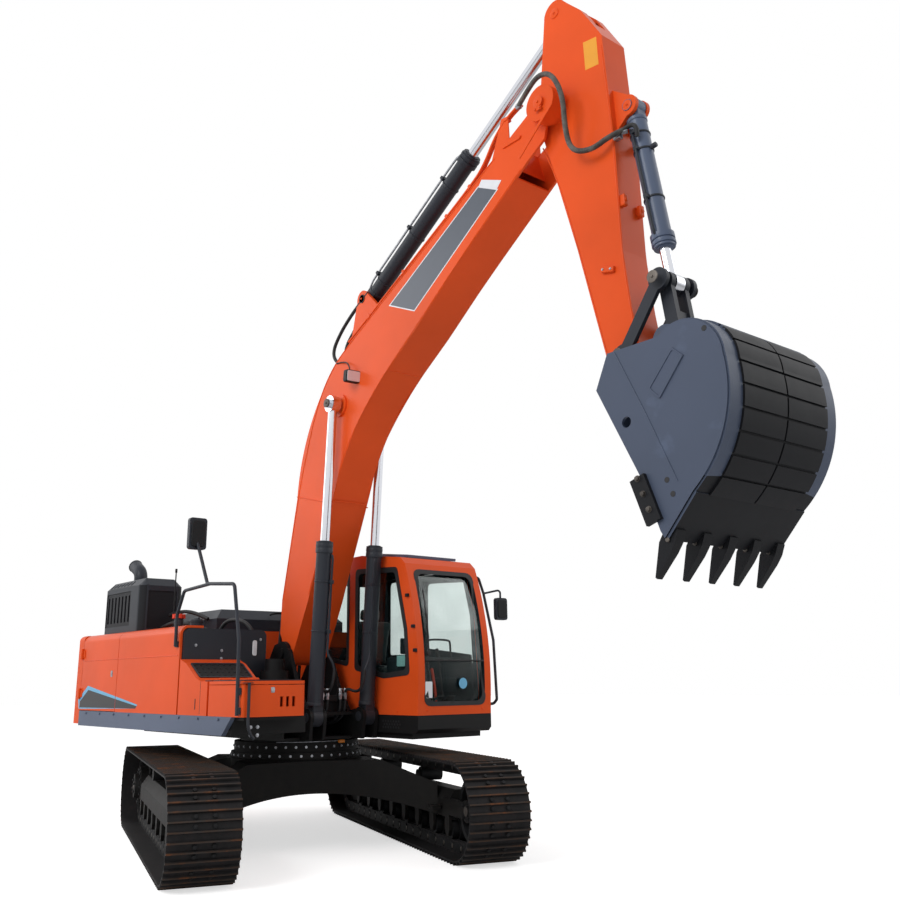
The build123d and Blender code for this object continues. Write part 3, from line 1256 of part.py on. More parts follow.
# Arm: a box with the cylinder's ears at the top and in front, and a round nose at the bucket
ARM_REAR = ((4240, 7480), (4150, 6700), (4140, 6400), (4280, 5920), (4510, 5090), (4750, 4110), (4865, 3590))
ARM_FRONT = (
    (5155, 3640), (5085, 4110), (5035, 4430), (4985, 4920), (4970, 5790), (4940, 6320), (4900, 6950),
    (4680, 7330), (4440, 7590),
)
NOSE_BOSS = 145
NOSE_CHEEK = 98
NOSE_HALF = 200
BUCKET_PIN_RADIUS = 45
ARM_EYE_BOSS = 130
ARM_SLOT_HALF = 62
ARM_SLOT_DEPTH = 300
ARM_SLOT_REACH = 250
EAR_INNER = ROD_EYE_HALF + SIDE_GAP
ROCKER_PIN_RADIUS = 40
ROCKER_INNER = ARM_HALF + SIDE_GAP
ROCKER_PLATE = 38
with BuildPart() as arm:
    with BuildSketch(side()):
        with BuildLine():
            Polyline(*ARM_REAR, BUCKET_PIN, *ARM_FRONT, ARM_CYLINDER_ROD, ARM_REAR[0])
        make_face()
        with Locations(ARM_CYLINDER_ROD):
            Circle(ARM_EYE_BOSS)
        with Locations(BUCKET_PIN):
            Circle(NOSE_BOSS)
    extrude(amount=ARM_HALF, both=True)
    with BuildSketch(side()):
        with BuildLine():
            Polyline(*ARM_REAR, BUCKET_PIN, *ARM_FRONT, ARM_CYLINDER_ROD, ARM_REAR[0])
        make_face()
        offset(amount=-ARM_WALL)
        with Locations(ARM_CYLINDER_ROD):
            Circle(ARM_SLOT_DEPTH + 60, mode=Mode.SUBTRACT)
        with Locations(BOOM_TIP):
            Circle(TIP_PIN + 60, mode=Mode.SUBTRACT)
        with Locations(ROCKER_PIN):
            Circle(ROCKER_PIN_RADIUS + 45, mode=Mode.SUBTRACT)
        with Locations(BUCKET_PIN):
            Circle(NOSE_BOSS + ARM_WALL, mode=Mode.SUBTRACT)
    extrude(amount=ARM_HALF - ARM_WALL, both=True, mode=Mode.SUBTRACT)
    with BuildSketch(side()):
        with Locations(BOOM_TIP):
            Circle(TIP_BOSS - 20)
    extrude(amount=ARM_PIVOT_HALF, both=True)
    with BuildSketch(side()):
        with Locations(BUCKET_PIN):
            Circle(NOSE_CHEEK)
    extrude(amount=NOSE_HALF, both=True)
    with BuildSketch(rod_plane(ARM_CYLINDER_ROD, BOOM_TIP, -ARM_SLOT_REACH)):
        Rectangle(2 * ARM_SLOT_HALF, 900)
    extrude(amount=ARM_SLOT_REACH + ARM_SLOT_DEPTH, mode=Mode.SUBTRACT)
    for sign in (-1, 1):
        with BuildSketch(side(sign * (EAR_INNER + LUG_THICK / 2))):
            with BuildLine():
                Polyline(
                    (4925, 6420), (BUCKET_CYLINDER_BASE[0] + 20, BUCKET_CYLINDER_BASE[1] + 85),
                    (BUCKET_CYLINDER_BASE[0] + 50, BUCKET_CYLINDER_BASE[1] - 40), (4950, 6010), close=True,
                )
            make_face()
            with Locations(BUCKET_CYLINDER_BASE):
                Circle(BASE_EYE)
                Circle(BASE_PIN + SEAT, mode=Mode.SUBTRACT)
        extrude(amount=LUG_THICK / 2, both=True)
    with BuildSketch(side()):
        with Locations(BOOM_TIP):
            Circle(TIP_PIN + SEAT)
        with Locations(BUCKET_PIN):
            Circle(BUCKET_PIN_RADIUS + SEAT)
        with Locations(ROCKER_PIN):
            Circle(ROCKER_PIN_RADIUS + SEAT)
    extrude(amount=NOSE_HALF + 10, both=True, mode=Mode.SUBTRACT)

# Bucket linkage
ROCKER_BOSS = 88
ROCKER_WAIST = 50
LINK_INNER = ROD_EYE_HALF + 2 * SIDE_GAP
LINK_PLATE = 50
LINK_BOSS = 80
LINK_TUBE_HALF = NOSE_HALF - SIDE_GAP
LINK_TUBE = 75
EAR_OFFSET = NOSE_HALF + SIDE_GAP
EAR_PLATE = 42
PIN_HEAD = 14
with BuildPart() as rocker:
    for sign in (-1, 1):
        with BuildSketch(side(sign * (ROCKER_INNER + ROCKER_PLATE / 2))):
            with Locations(ROCKER_PIN, LINK_PIN):
                Circle(ROCKER_BOSS)
        extrude(amount=ROCKER_PLATE / 2, both=True)
        with BuildSketch(along(ROCKER_PIN, LINK_PIN, sign * (ROCKER_INNER + ROCKER_PLATE / 2))):
            with Locations((span(ROCKER_PIN, LINK_PIN) / 2, 0)):
                Rectangle(span(ROCKER_PIN, LINK_PIN), 2 * ROCKER_WAIST)
        extrude(amount=ROCKER_PLATE / 2, both=True)
        with BuildSketch(side(sign * LINK_INNER)):
            with Locations(LINK_PIN):
                Circle(ROCKER_PIN_RADIUS)
        extrude(amount=-sign * (ROCKER_INNER + ROCKER_PLATE - LINK_INNER))
    with BuildSketch(side()):
        with Locations(ROCKER_PIN):
            Circle(ROCKER_PIN_RADIUS)
    extrude(amount=ROCKER_INNER + ROCKER_PLATE, both=True)

with BuildPart() as bucket_link:
    link_length = span(LINK_PIN, BUCKET_LINK_PIN)
    for sign in (-1, 1):
        with BuildSketch(along(LINK_PIN, BUCKET_LINK_PIN, sign * (LINK_INNER + LINK_PLATE / 2))):
            Circle(LINK_BOSS)
            with Locations((link_length / 2, 0)):
                Rectangle(link_length, 110)
        extrude(amount=LINK_PLATE / 2, both=True)
    with BuildSketch(along(LINK_PIN, BUCKET_LINK_PIN)):
        with Locations((link_length * 0.62, 0)):
            Rectangle(130, 70)
    extrude(amount=LINK_INNER, both=True)
    with BuildSketch(side()):
        with Locations(BUCKET_LINK_PIN):
            Circle(LINK_TUBE)
    extrude(amount=LINK_TUBE_HALF, both=True)
    with BuildSketch(side()):
        with Locations(LINK_PIN):
            Circle(ROCKER_PIN_RADIUS + SEAT)
    extrude(amount=NOSE_HALF, both=True, mode=Mode.SUBTRACT)

# Bucket: side plates, a rolled back, a recessed top plate, ears, lip, teeth and side cutters
BUCKET_BACK_LOW = (5840, 2790)
BUCKET_BACK_MIDDLE = (6105, 3160)
BUCKET_BACK_HIGH = (6145, 3640)
BUCKET_CROWN = (5970, 3915)
BUCKET_CROWN_END = (5675, 3915)
BUCKET_LIP = (5590, 2510)
BUCKET_TOP_REAR = (5560, 3790)
BUCKET_TOP_FRONT = (5290, 3500)
BUCKET_MOUTH_TOP = (5230, 3330)
LIP_PLATE = 40
TOOTH_ROWS = 5
TOOTH_SPREAD = 1160
TOOTH_WIDTH = 90

WEAR_HALF = 500
WEAR_THICK = 16
WEAR_GAP = 18
WEAR_ROWS = 9
WEAR_END = 0.86
SIDE_HOLE = (5330, 3350)
SIDE_HOLE_RADIUS = 40


def bucket_back():
    """The rolled back of the bucket, from the lip plate up to the crown."""
    ThreePointArc(BUCKET_BACK_LOW, BUCKET_BACK_MIDDLE, BUCKET_BACK_HIGH)
    ThreePointArc(BUCKET_BACK_HIGH, BUCKET_CROWN, BUCKET_CROWN_END)


def across_back(share):
    """A plane across the rolled back, at a share of its length."""
    return Plane(origin=back_line.line @ share, x_dir=(0, 1, 0), z_dir=back_line.line % share)


# Wear plates outside on the back, in two columns of short rows with gaps between them
with BuildLine(side()) as back_line:
    bucket_back()
with BuildPart() as wear_plates:
    with BuildSketch(side()):
        with BuildLine() as back:
            bucket_back()
        trace(back.edges(), BUCKET_PLATE + 2 * WEAR_THICK)
        with BuildLine():
            bucket_back()
            Line(BUCKET_CROWN_END, BUCKET_BACK_LOW)
        make_face(mode=Mode.SUBTRACT)
    extrude(amount=WEAR_HALF, both=True)
    with BuildSketch(side()):
        with Locations(BUCKET_BACK_MIDDLE):
            Rectangle(4 * WEAR_HALF, 4 * WEAR_HALF)
    extrude(amount=WEAR_GAP / 2, both=True, mode=Mode.SUBTRACT)
    for row in range(1, WEAR_ROWS):
        with BuildSketch(across_back(WEAR_END * row / WEAR_ROWS)):
            Rectangle(3 * WEAR_HALF, 8 * WEAR_THICK)
        extrude(amount=WEAR_GAP / 2, both=True, mode=Mode.SUBTRACT)
    with BuildSketch(across_back(WEAR_END)):
        Rectangle(3 * WEAR_HALF, 30 * WEAR_THICK)
    extrude(amount=WEAR_HALF, mode=Mode.SUBTRACT)

with BuildPart() as bucket_shell:
    for sign in (-1, 1):
        with BuildSketch(side(sign * (BUCKET_HALF - BUCKET_PLATE / 2))):
            with BuildLine():
                Polyline(
                    BUCKET_CROWN_END, (5640, 3890), (5190, 3890), (5070, 3640), (5420, 2950), (5560, 2560),
                    BUCKET_LIP, BUCKET_BACK_LOW,
                )
                bucket_back()
            make_face()
            with Locations(SIDE_HOLE):
                Circle(SIDE_HOLE_RADIUS, mode=Mode.SUBTRACT)
        extrude(amount=BUCKET_PLATE / 2, both=True)
    with BuildSketch(side()):
        with BuildLine() as wrapper:
            Line(BUCKET_LIP, BUCKET_BACK_LOW)
            bucket_back()
            Polyline(BUCKET_CROWN_END, BUCKET_TOP_REAR, BUCKET_TOP_FRONT, BUCKET_MOUTH_TOP)
        trace(wrapper.edges(), BUCKET_PLATE)
    extrude(amount=BUCKET_HALF - BUCKET_PLATE / 2, both=True)
    with BuildSketch(side()):
        with BuildLine() as lip:
            Line(BUCKET_LIP, BUCKET_BACK_LOW)
        trace(lip.edges(), LIP_PLATE)
    extrude(amount=BUCKET_HALF - BUCKET_PLATE / 2, both=True)
    for sign in (-1, 1):
        with BuildSketch(side(sign * (EAR_OFFSET + EAR_PLATE / 2))):
            with BuildLine():
                Polyline(
                    (4960, 3510), BUCKET_MOUTH_TOP, BUCKET_TOP_FRONT, BUCKET_TOP_REAR, (5650, 3880),
                    (5480, 4090), (5330, 4100), (4930, 3720), close=True,
                )
            make_face()
            with Locations(BUCKET_PIN):
                Circle(130)
            with Locations(BUCKET_LINK_PIN):
                Circle(105)
        extrude(amount=EAR_PLATE / 2, both=True)
        with BuildSketch(side(sign * (EAR_OFFSET + EAR_PLATE))):
            with Locations(BUCKET_LINK_PIN):
                Circle(BUCKET_PIN_RADIUS)
        extrude(amount=-sign * PIN_HEAD)
    with BuildSketch(side()):
        with Locations(BUCKET_PIN):
            Circle(BUCKET_PIN_RADIUS)
    extrude(amount=EAR_OFFSET + EAR_PLATE + PIN_HEAD, both=True)
    add(wear_plates.part)

# Columns: distance from the lip's front edge towards the tip, distance from the lip's middle
JAW = LIP_PLATE / 2 + SEAT
TOOTH_HEEL = 95
TOOTH_LENGTH = 268
TOOTH_TIP = 56
TOOTH_PROFILE = (
    (-TOOTH_HEEL, JAW), (-TOOTH_HEEL, JAW + 14), (-20, 62), (60, 74), (TOOTH_LENGTH, 80), (TOOTH_LENGTH, 64),
    (60, -42), (-20, -50), (-TOOTH_HEEL, -JAW - 14), (-TOOTH_HEEL, -JAW), (SEAT, -JAW), (SEAT, JAW),
)
CUTTER_THICK = 30
CUTTER_OUTLINE = ((5350, 2920), (5470, 2600), (5590, 2640), (5470, 2960))
LIP_AT = span(BUCKET_BACK_LOW, BUCKET_LIP)
lip_plane = along(BUCKET_BACK_LOW, BUCKET_LIP)
with BuildPart() as bucket_teeth:
    for row in range(TOOTH_ROWS):
        y = -TOOTH_SPREAD / 2 + row * TOOTH_SPREAD / (TOOTH_ROWS - 1)
        with BuildSketch(lip_plane.offset(-y)):
            with BuildLine():
                Polyline(
                    *[(LIP_AT + u, v) for u, v in TOOTH_PROFILE], close=True
                )
            make_face()
        extrude(amount=TOOTH_WIDTH / 2, both=True)
    with BuildSketch(Plane(origin=lip_plane.origin, x_dir=lip_plane.x_dir, z_dir=lip_plane.y_dir)):
        with GridLocations(0, TOOTH_SPREAD / (TOOTH_ROWS - 1), 1, TOOTH_ROWS):
            Polygon(
                (LIP_AT - TOOTH_HEEL, -TOOTH_WIDTH / 2), (LIP_AT, -TOOTH_WIDTH / 2),
                (LIP_AT + TOOTH_LENGTH, -TOOTH_TIP / 2), (LIP_AT + TOOTH_LENGTH, TOOTH_TIP / 2),
                (LIP_AT, TOOTH_WIDTH / 2), (LIP_AT - TOOTH_HEEL, TOOTH_WIDTH / 2), align=None,
            )
    extrude(amount=TOOTH_WIDTH, both=True, mode=Mode.INTERSECT)
    for sign in (-1, 1):
        with BuildSketch(side(sign * (BUCKET_HALF + SEAT + CUTTER_THICK / 2))):
            with BuildLine():
                Polyline(*CUTTER_OUTLINE, close=True)
            make_face()
        extrude(amount=CUTTER_THICK / 2, both=True)

with BuildPart() as handrails:
    add(tube(right_rail_points, RAIL_RADIUS, 60))
    add(tube(rear_rail_points, RAIL_RADIUS, 60))
    for x, z in RAIL_FEET:
        foot = side((RAIL_Y - HALF_WIDTH - SEAT) / 2)
        add(strap(foot, (x - 25, z - 30), (x + 25, z + 30), -RAIL_Y / 2 - (HALF_WIDTH + SEAT) / 2))
    with BuildSketch(across(MIRROR_POST[0] - 25)):
        with Locations((RAIL_Y, MIRROR_POST[1] + 60)):
            RectangleRounded(190, 320, 30)
    extrude(amount=50)
    add(tube(cab_rail_points, CAB_RAIL_RADIUS, 28))
    add(tube(mirror_arm_points, CAB_RAIL_RADIUS - 4, 30))
    with BuildSketch(across(CAB_MIRROR[0] - 25)):
        with Locations((CAB_MIRROR[1], CAB_MIRROR[2])):
            RectangleRounded(160, 240, 30)
    extrude(amount=50)

pieces = {
    "car_body": car_body,
    "track_frames": track_frames,
    "track_left": tracks["track_left"],
    "track_right": tracks["track_right"],
    "track_rollers": track_rollers,
    "idlers": idlers,
    "final_drives": final_drives,
    "revolving_frame": revolving_frame,
    "side_skirts": side_skirts,
    "counterweight": counterweight,
    **covers,
    "fuel_tank": fuel_tank,
    "engine_roof": engine_roof,
    "engine_hood": engine_hood,
    "exhaust_cover": exhaust_cover,
    "engine_block": engine_block,
    "battery_box": battery_box,
    "toolbox": toolbox,
    "toolbox_lid": toolbox_lid,
    "swing_motor": swing_motor,
    "handrails": handrails,
    "cab_base": cab_base,
    "cab_shell": cab_shell,
    "cab_glass": cab_glass,
    "cab_door": cab_door,
    "door_glass": door_glass,
    "roof_hatch": roof_hatch,
    "seat": seat,
    "boom": boom,
    **cylinders,
    "arm": arm,
    "rocker": rocker,
    "bucket_link": bucket_link,
    "bucket_shell": bucket_shell,
    "bucket_teeth": bucket_teeth,
}
os.makedirs("parts", exist_ok=True)
for label, piece in pieces.items():
    piece.part.label = label
    export_step(piece.part, f"parts/{label}.step")
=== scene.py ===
"""Crawler excavator: finishes, trim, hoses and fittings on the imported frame, with its stage."""
import json
import math

import bpy
from bpy.props import FloatProperty, PointerProperty, StringProperty
from bpy.types import Operator, Panel, PropertyGroup
from mathutils import Matrix, Vector


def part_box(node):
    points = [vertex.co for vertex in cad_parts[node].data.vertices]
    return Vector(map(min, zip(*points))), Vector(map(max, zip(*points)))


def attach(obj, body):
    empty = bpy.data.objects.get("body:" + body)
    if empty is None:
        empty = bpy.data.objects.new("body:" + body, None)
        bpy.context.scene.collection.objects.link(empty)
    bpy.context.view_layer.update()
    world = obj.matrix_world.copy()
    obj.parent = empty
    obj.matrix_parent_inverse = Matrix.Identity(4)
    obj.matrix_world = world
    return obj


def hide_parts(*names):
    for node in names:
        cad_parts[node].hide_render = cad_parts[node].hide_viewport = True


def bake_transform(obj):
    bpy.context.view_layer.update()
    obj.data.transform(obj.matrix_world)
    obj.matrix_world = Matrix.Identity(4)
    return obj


bl_info = {
    "name": "Crawler excavator",
    "version": (1, 0, 0),
    "blender": (4, 5, 0),
    "location": "View3D > Sidebar > Excavator",
    "description": "Finishes and trim of a crawler excavator, and its stage",
    "category": "Object",
}

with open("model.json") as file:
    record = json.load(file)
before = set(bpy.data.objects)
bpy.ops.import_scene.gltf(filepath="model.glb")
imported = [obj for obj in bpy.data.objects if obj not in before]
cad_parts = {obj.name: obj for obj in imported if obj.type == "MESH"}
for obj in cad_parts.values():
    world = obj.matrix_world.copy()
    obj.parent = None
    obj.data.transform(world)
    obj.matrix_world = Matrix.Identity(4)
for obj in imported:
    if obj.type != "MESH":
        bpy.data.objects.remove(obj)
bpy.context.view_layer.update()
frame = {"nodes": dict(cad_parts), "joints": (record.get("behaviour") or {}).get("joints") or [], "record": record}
NODES = frame["nodes"]
JOINTS = {joint["name"]: joint for joint in frame["joints"]}
SLOT_OF = {row["node"]: row["material_slot"] for row in frame["record"]["subparts"]}

# Places in the machine's own axes, in metres: X forward from the swing axis, Y left, Z up
SWING = Vector(JOINTS["swing"]["pos_m"])
TRACK_TURN = math.radians(-17.8)
HALF_WIDTH = 1.45
CAB_MIDDLE = 0.92
CAB_RIGHT = 0.43
CAB_LEFT = 1.41
TAIL_RADIUS = 3.12
TRACK_AXIS = 0.45
TUMBLER_HALF = 1.98
SIDES = (("right", -1), ("left", 1))


def at(x, y, z):
    """A point given in the machine's own axes, in the frame."""
    return Vector((x + SWING.x, y, z))


def on_track(u, v, z):
    """A point given along and across the turned undercarriage, in the frame."""
    cos, sin = math.cos(TRACK_TURN), math.sin(TRACK_TURN)
    return Vector((SWING.x + u * cos - v * sin, u * sin + v * cos, z))


def in_side(points, y):
    """Points of a side view, X and Z, at a distance from the machine's middle plane."""
    return [at(x, y, z) for x, z in points]


def pin(name):
    """The axis of a joint, where it crosses the machine's middle plane."""
    place = Vector(JOINTS[name]["pos_m"])
    return Vector((place.x, 0, place.z))


BOOM_TIP = pin("arm_turn")
BUCKET_PIN = pin("bucket_curl")
ROCKER_PIN = pin("rocker_turn")
LINK_PIN = pin("link_turn")
BOOM_CYLINDER_BASE = pin("boom_cylinder_turn")
ARM_CYLINDER_BASE = pin("arm_cylinder_turn")
BUCKET_CYLINDER_BASE = pin("bucket_cylinder_turn")
BOOM_CYLINDER_ROD = at(1.085, 0, 4.5)
ARM_CYLINDER_ROD = at(4.37, 0, 7.48)
BUCKET_LINK_PIN = at(5.4, 0, 4.04)
FORWARD, LEFT, UP = Vector((1, 0, 0)), Vector((0, 1, 0)), Vector((0, 0, 1))
TRACK_AHEAD = on_track(1, 0, 0) - on_track(0, 0, 0)
TRACK_LEFT = on_track(0, 1, 0) - on_track(0, 0, 0)


class EXC_Colours(PropertyGroup):
    """Colours of the finishes, as sRGB hex values."""

    paint: StringProperty(name="Paint", description="Body and equipment enamel", default="EB5620")
    slate: StringProperty(name="Slate", description="Skirts and bucket enamel", default="55627A")
    graphite: StringProperty(name="Graphite", description="Cylinders, hoods and rails", default="282C34")
    black: StringProperty(name="Black", description="Frame and undercarriage enamel", default="111214")


class EXC_Sizes(PropertyGroup):
    """Sizes of the trim that a user may want to change."""

    bolt: FloatProperty(name="Bolt", description="Width of the usual bolt head", default=0.030, unit="LENGTH")
    hose: FloatProperty(name="Hose", description="Radius of a pressure hose", default=0.019, unit="LENGTH")
    pipe: FloatProperty(name="Pipe", description="Radius of a steel pipe", default=0.013, unit="LENGTH")
    weld: FloatProperty(name="Weld", description="Radius of a weld bead", default=0.006, unit="LENGTH")


# Making and placing meshes


def select_only(*objs):
    """Leaves only these objects selected, the first one active."""
    if bpy.context.mode != "OBJECT":
        bpy.ops.object.mode_set(mode="OBJECT")
    bpy.ops.object.select_all(action="DESELECT")
    for obj in objs:
        obj.select_set(True)
    if objs:
        bpy.context.view_layer.objects.active = objs[0]


def basis(origin, along, up=UP):
    """A placing matrix: its X runs along one direction and its Z as near to up as it can."""
    x = Vector(along).normalized()
    y = Vector(up).cross(x)
    if y.length < 1e-6:
        y = LEFT.cross(x)
    y.normalize()
    z = x.cross(y)
    return Matrix.Translation(origin) @ Matrix((x, y, z)).transposed().to_4x4()


def upright(origin, normal=UP):
    """A placing matrix for something that stands on a face with this normal: its Z is the normal."""
    z = Vector(normal).normalized()
    x = Vector((z.z, 0, -z.x)) if abs(z.y) < 0.9 else FORWARD
    x.normalize()
    return Matrix.Translation(origin) @ Matrix((x, z.cross(x), z)).transposed().to_4x4()


def facing(point, normal, up=UP):
    """A placing matrix: its Z is the normal and its Y as near to up as it can."""
    z = Vector(normal).normalized()
    x = Vector(up).cross(z).normalized()
    return Matrix.Translation(point) @ Matrix((x, z.cross(x), z)).transposed().to_4x4()


def side_plane(y, right=True):
    """A placing matrix for outlines in the machine's X and Z: its Z points out of the side."""
    turned = Matrix((FORWARD, UP, -LEFT if right else LEFT)).transposed().to_4x4()
    return Matrix.Translation((SWING.x, y, 0)) @ turned


def settle(obj, place):
    """Puts the object's place, a matrix or a point, into its mesh, so that it sits at the origin."""
    if isinstance(place, Vector):
        place = Matrix.Translation(place)
    obj.matrix_world = place
    select_only(obj)
    bpy.ops.object.transform_apply(location=True, rotation=True, scale=True)
    if place.to_3x3().determinant() < 0:
        recalculate(obj)
    return obj


def recalculate(obj):
    """Turns all faces outwards."""
    select_only(obj)
    bpy.ops.object.mode_set(mode="EDIT")
    bpy.ops.mesh.select_all(action="SELECT")
    bpy.ops.mesh.remove_doubles(threshold=1e-5)
    bpy.ops.mesh.normals_make_consistent(inside=False)
    bpy.ops.object.mode_set(mode="OBJECT")


def bevel_all(obj, width, segments):
    """Rounds every edge."""
    if width > 0:
        select_only(obj)
        bpy.ops.object.mode_set(mode="EDIT")
        bpy.ops.mesh.select_all(action="SELECT")
        bpy.ops.mesh.bevel(offset=width, segments=segments, affect="EDGES")
        bpy.ops.object.mode_set(mode="OBJECT")


def smooth(obj, angle=40):
    """Smooth shading up to an angle."""
    select_only(obj)
    bpy.ops.object.shade_smooth_by_angle(angle=math.radians(angle))
    return obj


def block(place, size, bevel, segments=2):
    """A block with rounded edges in the middle of its place."""
    select_only()
    bpy.ops.mesh.primitive_cube_add(size=1)
    obj = bpy.context.object
    obj.scale = size
    bpy.ops.object.transform_apply(scale=True)
    bevel_all(obj, bevel, segments)
    return settle(obj, place)


def plate(place, outline, thick, bevel=0.002, segments=1):
    """A plate of this outline that stands on its place's level, with its upper edges rounded."""
    select_only()
    bpy.ops.mesh.primitive_circle_add(vertices=len(outline), fill_type="NGON")
    obj = bpy.context.object
    for vertex, (u, v) in zip(obj.data.vertices, outline):
        vertex.co = (u, v, 0)
    bpy.ops.object.mode_set(mode="EDIT")
    bpy.ops.mesh.select_all(action="SELECT")
    bpy.ops.mesh.extrude_region_move(TRANSFORM_OT_translate={"value": (0, 0, thick)})
    bpy.ops.mesh.select_all(action="SELECT")
    bpy.ops.mesh.normals_make_consistent(inside=False)
    if bevel > 0:
        bpy.ops.mesh.bevel(offset=bevel, segments=segments, affect="EDGES")
    bpy.ops.object.mode_set(mode="OBJECT")
    return settle(obj, place)


def disc(place, radius, depth, bevel, vertices, tip=None):
    """A round boss standing on its place, tapered where a tip radius is given."""
    select_only()
    bpy.ops.mesh.primitive_cone_add(
        vertices=vertices, radius1=radius, radius2=radius if tip is None else tip,
        depth=depth, location=(0, 0, depth / 2),
    )
    obj = bpy.context.object
    bpy.ops.object.transform_apply(location=True)
    if bevel > 0:
        bpy.ops.object.mode_set(mode="EDIT")
        bpy.ops.mesh.select_all(action="DESELECT")
        bpy.ops.object.mode_set(mode="OBJECT")
        for edge in obj.data.edges:
            edge.select = all(obj.data.vertices[i].co.z > depth * 0.99 for i in edge.vertices)
        bpy.ops.object.mode_set(mode="EDIT")
        bpy.ops.mesh.bevel(offset=bevel, segments=2, affect="EDGES")
        bpy.ops.object.mode_set(mode="OBJECT")
    settle(obj, place)
    return smooth(obj)


def ring(place, radius, thickness, flat, vertices=40):
    """A rounded ring that lies in its place's level."""
    select_only()
    bpy.ops.mesh.primitive_torus_add(
        major_radius=radius, minor_radius=thickness, major_segments=vertices, minor_segments=8,
    )
    obj = bpy.context.object
    obj.scale = (1, 1, flat)
    bpy.ops.object.transform_apply(scale=True)
    settle(obj, place)
    return smooth(obj, 80)


def bolt(width):
    """A hexagon bolt head on its washer, standing on the origin."""
    washer = disc(Matrix(), width * 0.68, width * 0.1, 0, 14)
    head = disc(Vector((0, 0, width * 0.1)), width * 0.52, width * 0.42, width * 0.05, 6)
    return join(head, washer)


def join(first, *others):
    """Joins meshes into the first one."""
    select_only(first, *others)
    bpy.ops.object.join()
    return bpy.context.object


def copies(model, places):
    """Copies a model to each place, each with its own mesh, and joins them; the model goes."""
    made = []
    for place in places:
        copy = model.copy()
        copy.data = model.data.copy()
        bpy.context.scene.collection.objects.link(copy)
        copy.data.transform(place)
        made.append(copy)
    bpy.data.objects.remove(model)
    return join(*made)


def bolts(places, width=None):
    """Hexagon bolts, each at a point and standing on a face with the given normal; usual ones where
    no width is given."""
    head = bolt(width or bpy.context.scene.exc_sizes.bolt)
    return copies(head, [upright(point, normal) for point, normal in places])


def tube(points, radius, order=3, sides=5, cyclic=False):
    """A round tube along a smooth line through control points, as a mesh."""
    select_only()
    bpy.ops.curve.primitive_nurbs_path_add()
    obj = bpy.context.object
    curve = obj.data
    curve.splines.clear()
    spline = curve.splines.new("POLY" if order == 2 else "NURBS")
    spline.points.add(len(points) - 1)
    for control, point in zip(spline.points, points):
        control.co = (*point, 1)
    if order > 2:
        spline.order_u = order
        spline.use_endpoint_u = not cyclic
        spline.resolution_u = 6
    spline.use_cyclic_u = cyclic
    curve.bevel_depth = radius
    curve.bevel_resolution = sides
    curve.use_fill_caps = True
    bpy.ops.object.convert(target="MESH")
    obj = bpy.context.object
    recalculate(obj)
    return smooth(obj, 50)


def rounded(corners, radius, steps=4):
    """Corner points with each corner turned into an arc."""
    points = []
    count = len(corners)
    for i in range(count):
        here = Vector(corners[i])
        back = (Vector(corners[i - 1]) - here).normalized()
        ahead = (Vector(corners[(i + 1) % count]) - here).normalized()
        half = max(back.angle(ahead) / 2, 0.2)
        reach = radius / math.tan(half)
        start, end = here + back * reach, here + ahead * reach
        for step in range(steps + 1):
            t = step / steps
            points.append((1 - t) ** 2 * start + 2 * t * (1 - t) * here + t**2 * end)
    return points


def piece(obj, name, body, finish):
    """Names a piece, gives it its finish and lets it ride on its body; a piece that runs between two bodies gets
    None and rides on neither.
    """
    obj.name = name
    obj.data.name = name
    obj.data.materials.clear()
    obj.data.materials.append(finish)
    if body:
        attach(obj, body)
    return obj


# Materials


def linear(value):
    """An sRGB hex value as a linear colour."""
    parts = [int(value[i:i + 2], 16) / 255 for i in (0, 2, 4)]
    return [c / 12.92 if c <= 0.04045 else ((c + 0.055) / 1.055) ** 2.4 for c in parts] + [1.0]


def node(tree, kind, settings=None, links=None):
    """Adds a node with its links and settings: those that are no input of it are its properties."""
    made = tree.nodes.new(kind)
    for key, value in (settings or {}).items():
        if isinstance(key, int) or key in made.inputs:
            made.inputs[key].default_value = value
        else:
            setattr(made, key, value)
    for key, source in (links or {}).items():
        tree.links.new(source, made.inputs[key])
    return made


def ramp(tree, source, stops):
    """A colour ramp with its stops given as places and hex values or greys."""
    made = node(tree, "ShaderNodeValToRGB", {}, {"Fac": source})
    elements = made.color_ramp.elements
    while len(elements) < len(stops):
        elements.new(0.5)
    for element, (place, colour) in zip(elements, stops):
        element.position = place
        element.color = linear(colour) if isinstance(colour, str) else (colour, colour, colour, 1)
    return made.outputs["Color"]


def noise(tree, place, scale, detail=2.0, roughness=0.5):
    """Cloudy noise over the object's own coordinates, as a grey."""
    settings = {"Scale": scale, "Detail": detail, "Roughness": roughness}
    return node(tree, "ShaderNodeTexNoise", settings, {"Vector": place}).outputs["Fac"]


def waves(tree, place, scale, direction):
    """Even waves along one direction, as a grey."""
    settings = {"Scale": scale, "bands_direction": direction}
    return node(tree, "ShaderNodeTexWave", settings, {"Vector": place}).outputs["Fac"]


def reckon(tree, operation, first, second=0.0, clamped=False):
    """A sum, product or like of two values, each a socket or a number."""
    made = node(tree, "ShaderNodeMath", {"operation": operation, "use_clamp": clamped})
    for socket, value in zip(made.inputs, (first, second)):
        if isinstance(value, bpy.types.NodeSocket):
            tree.links.new(value, socket)
        else:
            socket.default_value = value
    return made.outputs[0]


def spread(tree, source, low, high, start=0.0, end=1.0):
    """A grey moved from one range to another."""
    settings = {"From Min": start, "From Max": end, "To Min": low, "To Max": high}
    return node(tree, "ShaderNodeMapRange", settings, {"Value": source}).outputs[0]


def mixed(tree, share, first, second):
    """Two colours mixed by a share; the second is a socket or a hex value."""
    made = node(tree, "ShaderNodeMix", {"data_type": "RGBA"}, {0: share, 6: first})
    if isinstance(second, str):
        made.inputs[7].default_value = linear(second)
    else:
        tree.links.new(second, made.inputs[7])
    return made.outputs[2]


